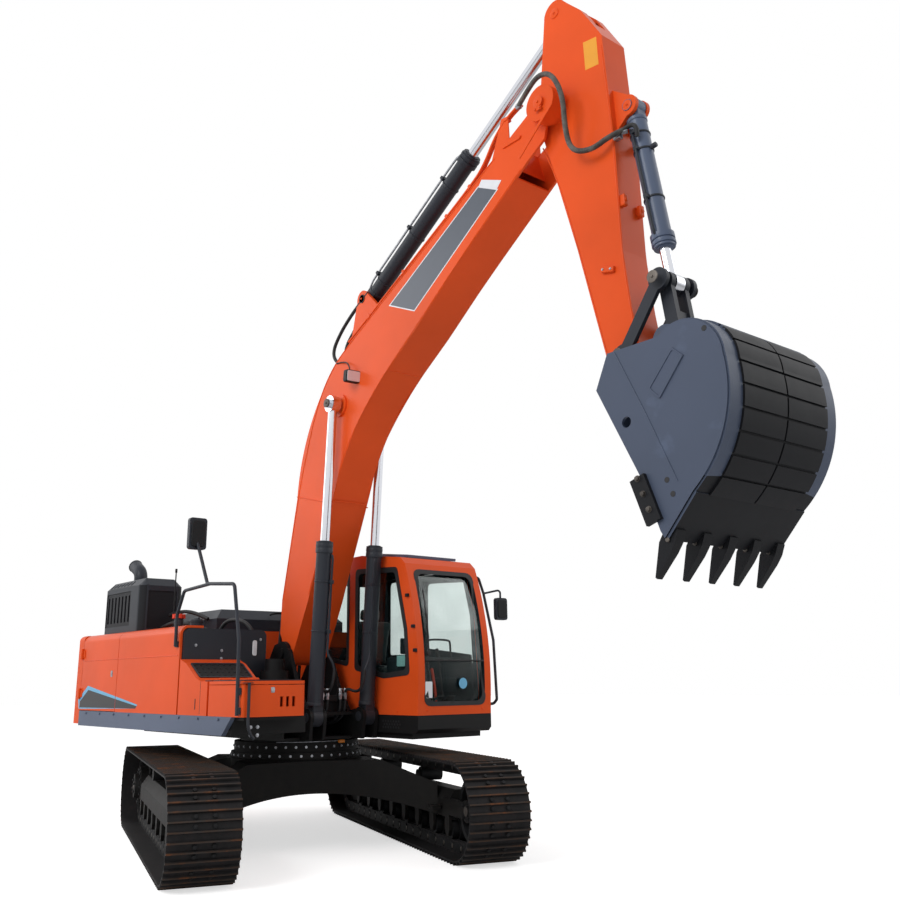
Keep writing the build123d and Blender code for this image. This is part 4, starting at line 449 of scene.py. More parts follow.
def start_material(name):
    """A new material: its tree, its shader and the object coordinates."""
    material = bpy.data.materials.new(name)
    material.use_nodes = True
    tree = material.node_tree
    shader = tree.nodes["Principled BSDF"]
    coordinates = node(tree, "ShaderNodeTexCoord").outputs["Object"]
    return material, tree, shader, coordinates


def dress(tree, shader, links, constants):
    """Links sources to a shader's sockets and sets its constants."""
    for key, source in links.items():
        tree.links.new(source, shader.inputs[key])
    for key, value in constants.items():
        shader.inputs[key].default_value = value


def skin(tree, height, strength, distance=0.001):
    """A bump from a grey."""
    settings = {"Strength": strength, "Distance": distance}
    return node(tree, "ShaderNodeBump", settings, {"Height": height}).outputs[0]


def shade(colour, factor):
    """A hex value made lighter or darker."""
    parts = (round(int(colour[i:i + 2], 16) * factor) for i in (0, 2, 4))
    return "".join(f"{max(0, min(255, part)):02X}" for part in parts)


def sprayed_enamel(name, colour, gloss, coat, dust, peel, shine):
    """Two-pack enamel sprayed on steel: an even colour that drifts by a few percent between
    panels, a fine orange peel of about 6 mm under a clear gloss, and a film of pale dust low down."""
    material, tree, shader, place = start_material(name)
    even = ramp(tree, noise(tree, place, 0.9, 3.0), [(0.3, shade(colour, 0.95)), (0.7, shade(colour, 1.03))])
    height = node(tree, "ShaderNodeSeparateXYZ", {}, {"Vector": place}).outputs["Z"]
    smear = noise(tree, place, 7.0, 6.0, 0.65)
    film = reckon(tree, "MULTIPLY", spread(tree, height, 0.0, dust, 2.2, 0.2), smear)
    links = {"Base Color": mixed(tree, film, even, "8E8579"),
             "Roughness": spread(tree, smear, gloss - 0.04, gloss + 0.08),
             "Normal": skin(tree, noise(tree, place, 160.0, 1.0), peel)}
    dress(tree, shader, links,
          {"IOR": 1.5, "Specular IOR Level": shine, "Coat Weight": coat, "Coat Roughness": 0.12})
    return material


def worn_shoe_steel():
    """Rolled manganese steel of the shoes: black mill scale with dry earth in it, and the bars'
    tips rubbed brown and bright where they touch the ground. The tips are found by their distance
    from the middle line of the closed loop."""
    material, tree, shader, place = start_material("rolled_manganese_steel")
    turned = node(tree, "ShaderNodeMapping", {"vector_type": "TEXTURE", "Rotation": (0, 0, TRACK_TURN),
                  "Location": (SWING.x, 0, 0)}, {"Vector": place})
    axes = node(tree, "ShaderNodeSeparateXYZ", {}, {"Vector": turned.outputs[0]})
    beyond = reckon(tree, "SUBTRACT", reckon(tree, "ABSOLUTE", axes.outputs["X"]), TUMBLER_HALF)
    level = reckon(tree, "SUBTRACT", axes.outputs["Z"], TRACK_AXIS)
    flat = node(tree, "ShaderNodeCombineXYZ", {}, {"X": reckon(tree, "MAXIMUM", beyond), "Y": level})
    radius = node(tree, "ShaderNodeVectorMath", {"operation": "LENGTH"}, {0: flat.outputs[0]})
    tip = spread(tree, radius.outputs["Value"], 0.0, 1.0, TRACK_AXIS - 0.011, TRACK_AXIS - 0.001)
    patch = noise(tree, place, 5.0, 8.0, 0.7)
    scale = ramp(tree, patch, [(0.35, "161617"), (0.62, "242223"), (0.78, "33291F")])
    rubbed = ramp(tree, patch, [(0.38, "403C3A"), (0.55, "4A3A30"), (0.7, "7A4A2C")])
    links = {"Base Color": mixed(tree, reckon(tree, "MULTIPLY", tip, 0.85), scale, rubbed),
             "Metallic": spread(tree, tip, 0.0, 0.55),
             "Normal": skin(tree, noise(tree, place, 90.0, 5.0), 0.35, 0.002)}
    dress(tree, shader, links, {"Roughness": 0.6, "Specular IOR Level": 0.2})
    return material


def cast_steel(name, dark, light, rough=0.6, metal=0.2):
    """Cast or forged steel with a thin primer: a sandy skin of about 2 mm grit, drawn as 8 mm so
    that it shows, and darker grease in patches."""
    material, tree, shader, place = start_material(name)
    links = {"Base Color": ramp(tree, noise(tree, place, 6.0, 6.0), [(0.35, dark), (0.7, light)]),
             "Normal": skin(tree, noise(tree, place, 125.0, 3.0), 0.3, 0.002)}
    dress(tree, shader, links, {"Roughness": rough, "Metallic": metal, "Specular IOR Level": 0.25})
    return material


def bucket_enamel(colour):
    """Enamel on the bucket's rolled plate, with fine scratches across it where earth has slid,
    drawn 15 mm apart so that they show, and the steel's dull grey in the deepest of them."""
    material = sprayed_enamel("enamel_on_rolled_plate", colour, 0.45, 0.05, 0.1, 0.04, 0.3)
    tree = material.node_tree
    shader = tree.nodes["Principled BSDF"]
    place = node(tree, "ShaderNodeTexCoord").outputs["Object"]
    stretched = node(tree, "ShaderNodeMapping", {"Scale": (3.0, 60.0, 3.0)}, {"Vector": place})
    line = ramp(tree, noise(tree, stretched.outputs[0], 1.1, 5.0), [(0.62, 0.0), (0.70, 0.35)])
    enamel = shader.inputs["Base Color"].links[0].from_socket
    dress(tree, shader, {"Base Color": mixed(tree, line, enamel, shade(colour, 1.35))}, {})
    return material


def hard_chrome():
    """Hard chrome on a ground rod: a bright mirror, a little uneven from the grinding."""
    material, tree, shader, place = start_material("hard_chrome")
    links = {"Roughness": spread(tree, noise(tree, place, 40.0), 0.12, 0.2)}
    dress(tree, shader, links, {"Base Color": linear("DADCE2"), "Metallic": 1.0})
    return material


def zinc_plate():
    """Zinc plated steel of fittings and bolts: grey, half matt, a little cloudy."""
    material, tree, shader, place = start_material("zinc_plated_steel")
    links = {"Base Color": ramp(tree, noise(tree, place, 30.0, 4.0), [(0.3, "8F9298"), (0.7, "B9BBC0")])}
    dress(tree, shader, links, {"Metallic": 0.9, "Roughness": 0.38})
    return material


def rubber(name="vulcanised_rubber", dark="0C0C0E", light="1A1B1F", rough=0.62, ribs=0.0):
    """Vulcanised rubber of gaskets and hoses: black, matt, a little grey with dust. A guarded hose
    has a wound band, with ribs 12 mm apart."""
    material, tree, shader, place = start_material(name)
    if ribs:
        relief = skin(tree, waves(tree, place, 26.0, "DIAGONAL"), ribs, 0.004)
    else:
        relief = skin(tree, noise(tree, place, 220.0), 0.1)
    colour = ramp(tree, noise(tree, place, 12.0, 5.0), [(0.35, dark), (0.75, light)])
    dress(tree, shader, {"Base Color": colour, "Normal": relief}, {"Roughness": rough})
    return material


def safety_glass():
    """Laminated safety glass: clear with a faint green tint, and a thin mirror at a flat angle."""
    material, tree, shader, place = start_material("laminated_safety_glass")
    clear = node(tree, "ShaderNodeBsdfTransparent", {"Color": linear("F1F5F4")})
    gloss = node(tree, "ShaderNodeBsdfGlossy", {"Roughness": 0.03})
    rim = node(tree, "ShaderNodeFresnel", {"IOR": 1.5}).outputs[0]
    part = reckon(tree, "MULTIPLY", rim, reckon(tree, "MULTIPLY", noise(tree, place, 3.0), 0.25))
    both = node(tree, "ShaderNodeMixShader", {}, {0: part, 1: clear.outputs[0], 2: gloss.outputs[0]})
    tree.links.new(both.outputs[0], tree.nodes["Material Output"].inputs["Surface"])
    tree.nodes.remove(shader)
    return material


def moulded_plastic(name, colour, rough=0.5, grain=0.25):
    """Moulded ABS with a fine leather grain of about 2 mm, drawn as 5 mm."""
    material, tree, shader, place = start_material(name)
    cell = node(tree, "ShaderNodeTexVoronoi", {"Scale": 200.0}, {"Vector": place})
    stops = [(0.3, shade(colour, 0.92)), (0.7, shade(colour, 1.06))]
    links = {"Base Color": ramp(tree, noise(tree, place, 4.0), stops),
             "Normal": skin(tree, cell.outputs["Distance"], grain)}
    dress(tree, shader, links, {"Roughness": rough, "Specular IOR Level": 0.22})
    return material


def seat_cloth():
    """Woven seat cloth: threads of about 1 mm, drawn as a 4 mm weave, with a soft sheen."""
    material, tree, shader, place = start_material("woven_seat_cloth")
    weave = reckon(tree, "MULTIPLY", waves(tree, place, 60.0, "Y"), waves(tree, place, 60.0, "Z"))
    links = {"Base Color": ramp(tree, weave, [(0.0, "2A3D40"), (1.0, "4D6A6C")]),
             "Normal": skin(tree, weave, 0.4)}
    dress(tree, shader, links, {"Roughness": 0.85, "Sheen Weight": 0.3})
    return material


def vinyl_film(name, colour, rough):
    """Printed vinyl film, plain: an even colour with the faint waviness of a glued sheet."""
    material, tree, shader, place = start_material(name)
    wave = noise(tree, place, 9.0)
    links = {"Base Color": ramp(tree, wave, [(0.2, shade(colour, 0.97)), (0.8, colour)]),
             "Normal": skin(tree, wave, 0.05, 0.002)}
    dress(tree, shader, links, {"Roughness": rough})
    return material


def lamp_lens():
    """Clear polycarbonate lens over a bright reflector: pale, glossy, with fine upright flutes."""
    material, tree, shader, place = start_material("polycarbonate_lens")
    flutes = waves(tree, place, 30.0, "Y")
    links = {"Base Color": ramp(tree, flutes, [(0.0, "C9CDD4"), (1.0, "F1F3F6")]),
             "Normal": skin(tree, flutes, 0.3, 0.002)}
    dress(tree, shader, links, {"Roughness": 0.08, "Metallic": 0.3})
    return material


def mirror_glass():
    """Silvered glass: a mirror, with a faint cloud so that it reads as glass in any light."""
    material, tree, shader, place = start_material("silvered_glass")
    links = {"Roughness": spread(tree, noise(tree, place, 8.0), 0.02, 0.08)}
    dress(tree, shader, links, {"Base Color": linear("C8CCD2"), "Metallic": 1.0})
    return material


finishes = {}


def make_finishes():
    """All finishes, by the name that pieces ask for."""
    colours = bpy.context.scene.exc_colours
    # Columns: key, name, colour, gloss, coat, dust, peel, shine
    enamels = (
        ("paint", "orange_enamel", colours.paint, 0.32, 0.04, 0.04, 0.04, 0.13),
        ("weight", "orange_enamel_on_cast_iron", colours.paint, 0.42, 0.04, 0.06, 0.25, 0.15),
        ("skirt", "slate_enamel", colours.slate, 0.4, 0.1, 0.15, 0.04, 0.35),
        ("graphite", "graphite_enamel", colours.graphite, 0.45, 0.05, 0.1, 0.04, 0.25),
        # dark: graphite darkened as painted shade, for the recesses and slots of the outlet's cover
        ("dark", "graphite_enamel_painted_shade", shade(colours.graphite, 0.62), 0.5, 0.0, 0.05, 0.04, 0.2),
        ("black", "black_enamel", colours.black, 0.5, 0.02, 0.05, 0.04, 0.18),
        ("under", "undercarriage_enamel", "0C0D0F", 0.55, 0.0, 0.06, 0.04, 0.15),
        # plates: black of the wear plates, also on the teeth, and painted shade on the bucket's lip
        ("plates", "black_enamel_and_painted_shade", "1A1B1F", 0.5, 0.0, 0.1, 0.04, 0.15),
    )
    # Columns: key, name, colour, roughness
    films = (
        ("slate_film", "slate_vinyl", "4C535F", 0.35), ("white_film", "white_vinyl", "E9EBF0", 0.35),
        ("black_film", "black_vinyl", "17181C", 0.35), ("blue_film", "pale_blue_vinyl", "6FB7DE", 0.35),
        ("yellow_film", "yellow_vinyl", "F2A31B", 0.35), ("pale_film", "pale_green_vinyl", "9FD8D4", 0.35),
        ("amber", "amber_enamel", "F08A24", 0.3),
    )
    finishes.update({key: sprayed_enamel(*settings) for key, *settings in enamels})
    finishes.update({key: vinyl_film(*settings) for key, *settings in films})
    finishes.update(
        bucket=bucket_enamel(shade(colours.slate, 0.82)),
        shoes=worn_shoe_steel(),
        casting=cast_steel("cast_steel", "101011", "1E1F21"),
        worn=cast_steel("rubbed_cast_steel", "3A3634", "6E6862", 0.45, 0.5),
        engine=cast_steel("cast_aluminium", "55585C", "7A7D82", 0.5, 0.6),
        chrome=hard_chrome(),
        zinc=zinc_plate(),
        rubber=rubber(),
        guard=rubber("wound_hose_guard", "35322F", "6A655E", 0.55, 0.8),
        glass=safety_glass(),
        plastic=moulded_plastic("moulded_abs", "17181A"),
        cap=moulded_plastic("moulded_red_nylon", "E0472C", 0.4, 0.15),
        trim=moulded_plastic("moulded_trim", "16272B", 0.7),
        cloth=seat_cloth(),
        lens=lamp_lens(),
        mirror=mirror_glass(),
    )


FINISH_OF_SLOT = {
    "orange_paint": "paint", "slate_paint": "skirt", "graphite_paint": "graphite", "track_steel": "shoes",
    "undercarriage_paint": "under", "counterweight_iron": "weight", "rod_chrome": "chrome",
    "cab_glass": "glass", "seat_fabric": "cloth", "engine_metal": "engine", "black_paint": "black",
    "bucket_paint": "bucket",
}
FINISH_OF_NODE = {"track_rollers": "casting", "idlers": "casting", "bucket_teeth": "plates"}


class EXC_OT_finishes(Operator):
    """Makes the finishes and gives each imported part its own."""

    bl_idname = "exc.finishes"
    bl_label = "Finishes"

    def execute(self, context):
        make_finishes()
        for name, part in NODES.items():
            finish = finishes[FINISH_OF_NODE.get(name) or FINISH_OF_SLOT[SLOT_OF[name]]]
            part.data.materials.clear()
            part.data.materials.append(finish)
            for polygon in part.data.polygons:
                polygon.material_index = 0
        return {"FINISHED"}


# Outlines and strips


def inset(corners, distance):
    """A convex outline moved inwards by a distance, or outwards by a negative one."""
    moved = []
    for i, corner in enumerate(corners):
        here = Vector(corner)
        back = (Vector(corners[i - 1]) - here).normalized()
        ahead = (Vector(corners[(i + 1) % len(corners)]) - here).normalized()
        moved.append(here + (back + ahead).normalized() * (distance / math.sin(back.angle(ahead) / 2)))
    return moved


def circle_through(a, b, c):
    """Middle and radius of the circle through three points of a side view."""
    (ax, ay), (bx, by), (cx, cy) = a, b, c
    d = 2 * (ax * (by - cy) + bx * (cy - ay) + cx * (ay - by))
    sa, sb, sc = ax * ax + ay * ay, bx * bx + by * by, cx * cx + cy * cy
    x = (sa * (by - cy) + sb * (cy - ay) + sc * (ay - by)) / d
    y = (sa * (cx - bx) + sb * (ax - cx) + sc * (bx - ax)) / d
    return x, y, math.hypot(ax - x, ay - y)


def band(outer, inner, thick):
    """A flat strip between two closed lines of points, thickened evenly."""
    loops = []
    for points in (outer, inner):
        select_only()
        bpy.ops.mesh.primitive_circle_add(vertices=len(points), fill_type="NOTHING")
        loop = bpy.context.object
        for vertex, point in zip(loop.data.vertices, points):
            vertex.co = point
        loops.append(loop)
    obj = join(*loops)
    bpy.ops.object.mode_set(mode="EDIT")
    bpy.ops.mesh.select_all(action="SELECT")
    bpy.ops.mesh.bridge_edge_loops()
    bpy.ops.object.mode_set(mode="OBJECT")
    solid = obj.modifiers.new("thickness", "SOLIDIFY")
    solid.thickness = thick
    solid.offset = 0
    bpy.ops.object.modifier_apply(modifier="thickness")
    recalculate(obj)
    return smooth(obj, 35)


def gasket(corners, radius, y, width):
    """A rubber strip round a window in a side wall, half on the panel and half on the glass."""
    lines = [rounded(inset(corners, step * width), radius) for step in (-0.25, 0.75)]
    return band(*(in_side(line, y) for line in lines), 0.008)


def oblong(length, height, radius, steps=3):
    """A rectangle with round corners about the origin."""
    a, b = length / 2, height / 2
    return rounded([(-a, -b), (a, -b), (a, b), (-a, b)], radius, steps)


def on_circle(count, radius, start=0.0):
    """Points on a circle about the origin."""
    turns = [start + 2 * math.pi * i / count for i in range(count)]
    return [(radius * math.cos(turn), radius * math.sin(turn)) for turn in turns]


# Undercarriage

GAUGE_HALF = 1.3
SHOE_BACK = 0.412
SHOE_COUNT = 48
SHOE_PLATE = 0.012
STRAIGHT = 2 * TUMBLER_HALF
ROUND_END = math.pi * SHOE_BACK
SHOE_PITCH = 2 * (STRAIGHT + ROUND_END) / SHOE_COUNT
CHAIN_FACE = 0.105
CHAIN_DEPTH = 0.055
BOLT_ROW = 0.0775
DRIVE_FACE = 0.13
HUB_FACE = 0.19
YOKE_FACE = 0.155
RING_SEAT = 0.672


def round_loop(distance, height, v):
    """A point on a track by its distance round the shoes' backs, and the way out of the loop."""
    distance %= 2 * (STRAIGHT + ROUND_END)
    if distance < STRAIGHT:
        u, angle = distance - TUMBLER_HALF, -math.pi / 2
    elif distance < STRAIGHT + ROUND_END:
        u, angle = TUMBLER_HALF, (distance - STRAIGHT) / SHOE_BACK - math.pi / 2
    elif distance < 2 * STRAIGHT + ROUND_END:
        u, angle = TUMBLER_HALF - (distance - STRAIGHT - ROUND_END), math.pi / 2
    else:
        u, angle = -TUMBLER_HALF, (distance - 2 * STRAIGHT - ROUND_END) / SHOE_BACK + math.pi / 2
    radius = SHOE_BACK + height
    point = on_track(u + radius * math.cos(angle), v, TRACK_AXIS + radius * math.sin(angle))
    return point, TRACK_AHEAD * math.cos(angle) + UP * math.sin(angle)


class EXC_OT_tracks(Operator):
    """Shoe bolts, link plates and chain pins of both tracks, and the bolts of drives and yokes."""

    bl_idname = "exc.tracks"
    bl_label = "Tracks"

    def execute(self, context):
        sides = (GAUGE_HALF, -GAUGE_HALF)
        spots = [
            round_loop((shoe + share) * SHOE_PITCH, SHOE_PLATE, v + row)
            for v in sides for shoe in range(SHOE_COUNT) for share in (1 / 3, 2 / 3)
            for row in (-BOLT_ROW, BOLT_ROW)
        ]
        piece(bolts(spots, 0.036), "shoe_bolts", "undercarriage", finishes["casting"])
        link_places, pin_places = [], []
        for v in sides:
            for way in (-1, 1):
                for shoe in range(SHOE_COUNT):
                    for places, share in ((link_places, 0.5), (pin_places, 0)):
                        distance = (shoe + share) * SHOE_PITCH
                        point, out = round_loop(distance, -CHAIN_DEPTH, v + way * CHAIN_FACE)
                        places.append(facing(point, TRACK_LEFT * way, out))
        link = plate(Matrix(), oblong(0.205, 0.084, 0.036), 0.006)
        piece(copies(link, link_places), "link_plates", "undercarriage", finishes["casting"])
        end = disc(Matrix(), 0.021, 0.009, 0.002, 14)
        piece(copies(end, pin_places), "chain_pins", "undercarriage", finishes["worn"])
        heads, caps = [], []
        for v in sides:
            way = 1 if v > 0 else -1
            # Columns: place along the track and across it, way out, count, radius and first turn
            circles = (
                (-TUMBLER_HALF, way * DRIVE_FACE, way, 14, 0.185, 0.0),
                (-TUMBLER_HALF, way * HUB_FACE, way, 4, 0.07, 0.4),
                (TUMBLER_HALF, -YOKE_FACE, -1, 4, 0.075, 0.8),
                (TUMBLER_HALF, YOKE_FACE, 1, 4, 0.075, 0.8),
            )
            for u, face, out, count, radius, turn in circles:
                for du, dz in on_circle(count, radius, turn):
                    heads.append((on_track(du + u, v + face, TRACK_AXIS + dz), TRACK_LEFT * out))
            # An axle's cap sits in the middle of each circle but the outer one
            for u, face, out, *_ in circles[1:]:
                caps.append(facing(on_track(u, v + face, TRACK_AXIS), TRACK_LEFT * out))
        piece(bolts(heads), "drive_bolts", "undercarriage", finishes["casting"])
        boss = disc(Matrix(), 0.045, 0.008, 0.003, 24)
        piece(copies(boss, caps), "axle_caps", "undercarriage", finishes["worn"])
        return {"FINISHED"}


class EXC_OT_slewing_ring(Operator):
    """Two rows of bolts round the slewing ring, its grease block with its line, and its weld bead."""

    bl_idname = "exc.slewing_ring"
    bl_label = "Slewing ring"

    def execute(self, context):
        rows = []
        # Columns: radius, height, share of a step that the row is turned by
        for radius, height, turn in ((0.69, 0.9, 0.0), (0.66, 0.985, 0.5)):
            for x, y in on_circle(40, radius, turn * math.pi / 20):
                rows.append((at(x, y, height), (x, y, 0)))
        piece(bolts(rows, 0.019), "ring_bolts", "undercarriage", finishes["zinc"])
        nipple = block(basis(at(0.666, 0.137, 1.03), (0.98, 0.19, 0)), (0.03, 0.075, 0.034), 0.005)
        piece(nipple, "grease_block", "undercarriage", finishes["amber"])
        line = [at(RING_SEAT * math.cos(turn), RING_SEAT * math.sin(turn), 1.036)
                for turn in (0.14, -0.1, -0.35, -0.6, -0.85)]
        piece(tube(line, 0.0055), "grease_line", "undercarriage", finishes["zinc"])
        circle = [at(x, y, 0.865) for x, y in on_circle(48, 0.694)]
        piece(tube(circle, 0.007, 3, 2, True), "ring_weld", "undercarriage", finishes["under"])
        return {"FINISHED"}


# Upper structure

COVER_FACE = 1.45
# The rear wedge on the right cover: side outlines of its border and its field, X and Z
WEDGE = ((-2.66, 1.45), (-2.37, 1.61), (-0.88, 1.41), (-0.93, 1.37), (-2.62, 1.345))
WEDGE_FIELD = ((-2.6, 1.425), (-2.345, 1.563), (-0.9, 1.395), (-0.93, 1.37), (-2.6, 1.36))
DOOR_ENDS = (-2.59, -1.51)
CREASE = 1.9


def between(outline, low, high):
    """The part of a convex side outline between two values of X."""
    for limit, sign in ((low, 1), (high, -1)):
        kept = []
        for (x0, z0), (x1, z1) in zip(outline, (*outline[1:], outline[0])):
            if (x0 - limit) * sign >= 0:
                kept.append((x0, z0))
            if (x0 - limit) * (x1 - limit) < 0:
                kept.append((limit, z0 + (z1 - z0) * (limit - x0) / (x1 - x0)))
        outline = kept
    return outline


def tail_face(y):
    """Place along the machine of the weight's round rear face, at a distance from the middle plane."""
    return -math.sqrt(TAIL_RADIUS**2 - y**2)


def plain_plate(name, outline, y, finish, thick, body):
    """A thin film or plate that lies on a side of the machine; the right side has a negative Y."""
    return piece(plate(side_plane(y, y < 0), outline, thick, 0), name, body, finish)


class EXC_OT_covers(Operator):
    """Creases, seams, locks and blank film of the side covers, skirt bolts, lifting eyes, reflectors."""

    bl_idname = "exc.covers"
    bl_label = "Covers"

    def execute(self, context):
        # Columns: name, sign of the side, start and end along the cover, body
        creases = (
            ("right_crease_front", -1, -1.49, 0.05, "upper"),
            ("right_crease_rear", -1, -2.58, -1.51, "right_rear_door"),
            ("left_crease_front", 1, -1.49, -0.42, "upper"),
            ("left_crease_rear", 1, -2.58, -1.51, "left_rear_door"),
        )
        for name, side, start, end, body in creases:
            line = in_side([(x, CREASE) for x in (start, (start + end) / 2, end)], side * COVER_FACE)
            piece(tube(line, 0.006, 2, 3), name, body, finishes["paint"])
        for word, side in SIDES:
            face = facing(at(-1.66, side * COVER_FACE, 1.74), LEFT * side)
            lock = join(disc(face, 0.022, 0.006, 0.002, 24), plate(face, oblong(0.052, 0.07, 0.012), 0.003))
            piece(lock, f"{word}_door_lock", f"{word}_rear_door", finishes["zinc"])
        # The wedge is cut where the door ends, and each part rides on its own panel
        rear, front = DOOR_ENDS
        # Columns: name, rear and front end, body
        parts = (
            ("tail", -3, rear - 0.012, "upper"),
            ("rear", rear, front, "right_rear_door"),
            ("front", front + 0.016, 0, "upper"),
        )
        for word, low, high, body in parts:
            border = between(WEDGE, low, high)
            plain_plate(f"wedge_border_{word}", border, -COVER_FACE, finishes["blue_film"], 0.0015, body)
            field = between(WEDGE_FIELD, low, high)
            # The field starts ahead of the tail's part
            if field:
                black = finishes["black_film"]
                plain_plate(f"wedge_field_{word}", field, -COVER_FACE - 0.0015, black, 0.001, body)
        # Seam between the sloping cover and the box in front of it, and the box's slot and lock; the slot is a
        # dark block of painted shade
        seam = block(at(0.6, -COVER_FACE + 0.001, 1.49), (0.006, 0.004, 0.3), 0.001)
        slot_painted_shade = block(at(0.5, -COVER_FACE, 1.43), (0.014, 0.006, 0.1), 0.002)
        piece(join(seam, slot_painted_shade), "box_seam", "upper", finishes["rubber"])
        face = facing(at(1.44, -1.14, 1.56), FORWARD)
        lock = join(disc(face, 0.02, 0.006, 0.002, 20), plate(face, oblong(0.04, 0.05, 0.01), 0.003))
        piece(lock, "toolbox_lock", "upper", finishes["zinc"])
        heads = [(at(1.0 - step * 0.42, side * (HALF_WIDTH + 0.001), 1.3), LEFT * side)
                 for word, side in SIDES for step in range(9)]
        piece(bolts(heads, 0.02), "skirt_bolts", "upper", finishes["skirt"])
        # Lifting eyes and rear reflectors of the weight
        eyes = []
        for y in (-0.8, 0.8):
            loop = ((-0.09, 2.19), (-0.09, 2.27), (0, 2.31), (0.09, 2.27), (0.09, 2.19))
            eyes.append(tube([at(tail_face(y) + 0.3, y + dy, z) for dy, z in loop], 0.02))
        piece(join(*eyes), "weight_eyes", "upper", finishes["weight"])
        for word, y in SIDES:
            out = Vector((tail_face(y), y, 0)).normalized()
            place = facing(at(tail_face(y), y, 1.38) - out * 0.004, out)
            holder = plate(place, oblong(0.2, 0.08, 0.03), 0.012, 0.003)
            piece(holder, f"{word}_reflector", "upper", finishes["amber"])
        return {"FINISHED"}


def tread_plate(corner, along, across, length, width):
    """A step plate: a sheet with a raised rim and rows of punched studs."""
    normal = Vector(along).cross(across).normalized()
    middle = Vector(corner) + Vector(along) * length / 2 + Vector(across) * width / 2
    place = facing(middle, normal, across)
    base = plate(place, oblong(length, width, 0.02, 2), 0.004)
    lines = (oblong(length, width, 0.02, 2), oblong(length - 0.03, width - 0.03, 0.01, 2))
    rim = band(*([place @ Vector((*point, 0.006)) for point in line] for line in lines), 0.008)
    places = []
    columns, rows = int(length / 0.06), int(width / 0.06)
    for i in range(columns):
        for j in range(rows):
            u = (i + 0.5) * length / columns - length / 2
            v = (j + 0.5) * width / rows - width / 2
            places.append(place @ Matrix.Translation((u, v, 0.004)))
    studs = copies(disc(Matrix(), 0.015, 0.006, 0.002, 8, 0.011), places)
    return base, rim, studs


# Places on the right side of the deck
COVER_TOP = 2.199
CAPS_LINE = -1.08
FILLER = -0.33
COOLANT = -0.78
AERIAL = -1.1
AERIAL_LINE = -1.0
TANK_FACE = 0.12
BOX_TOP = 1.641
BRACE_LINE = -1.4
LOUVRE_LEVEL = 2.442
# The side profile of the battery box, X and Z: its slopes and top in order
BOX_PROFILE = ((0.26, 1.815), (0.49, 1.675), (0.6, BOX_TOP), (0.745, BOX_TOP))
# The cover over the outlet: depth of its faces and of its slots under the posts, and where they end
RECESS = 0.004
SLOT_DEPTH = 0.012
PANEL_TOP = 2.72


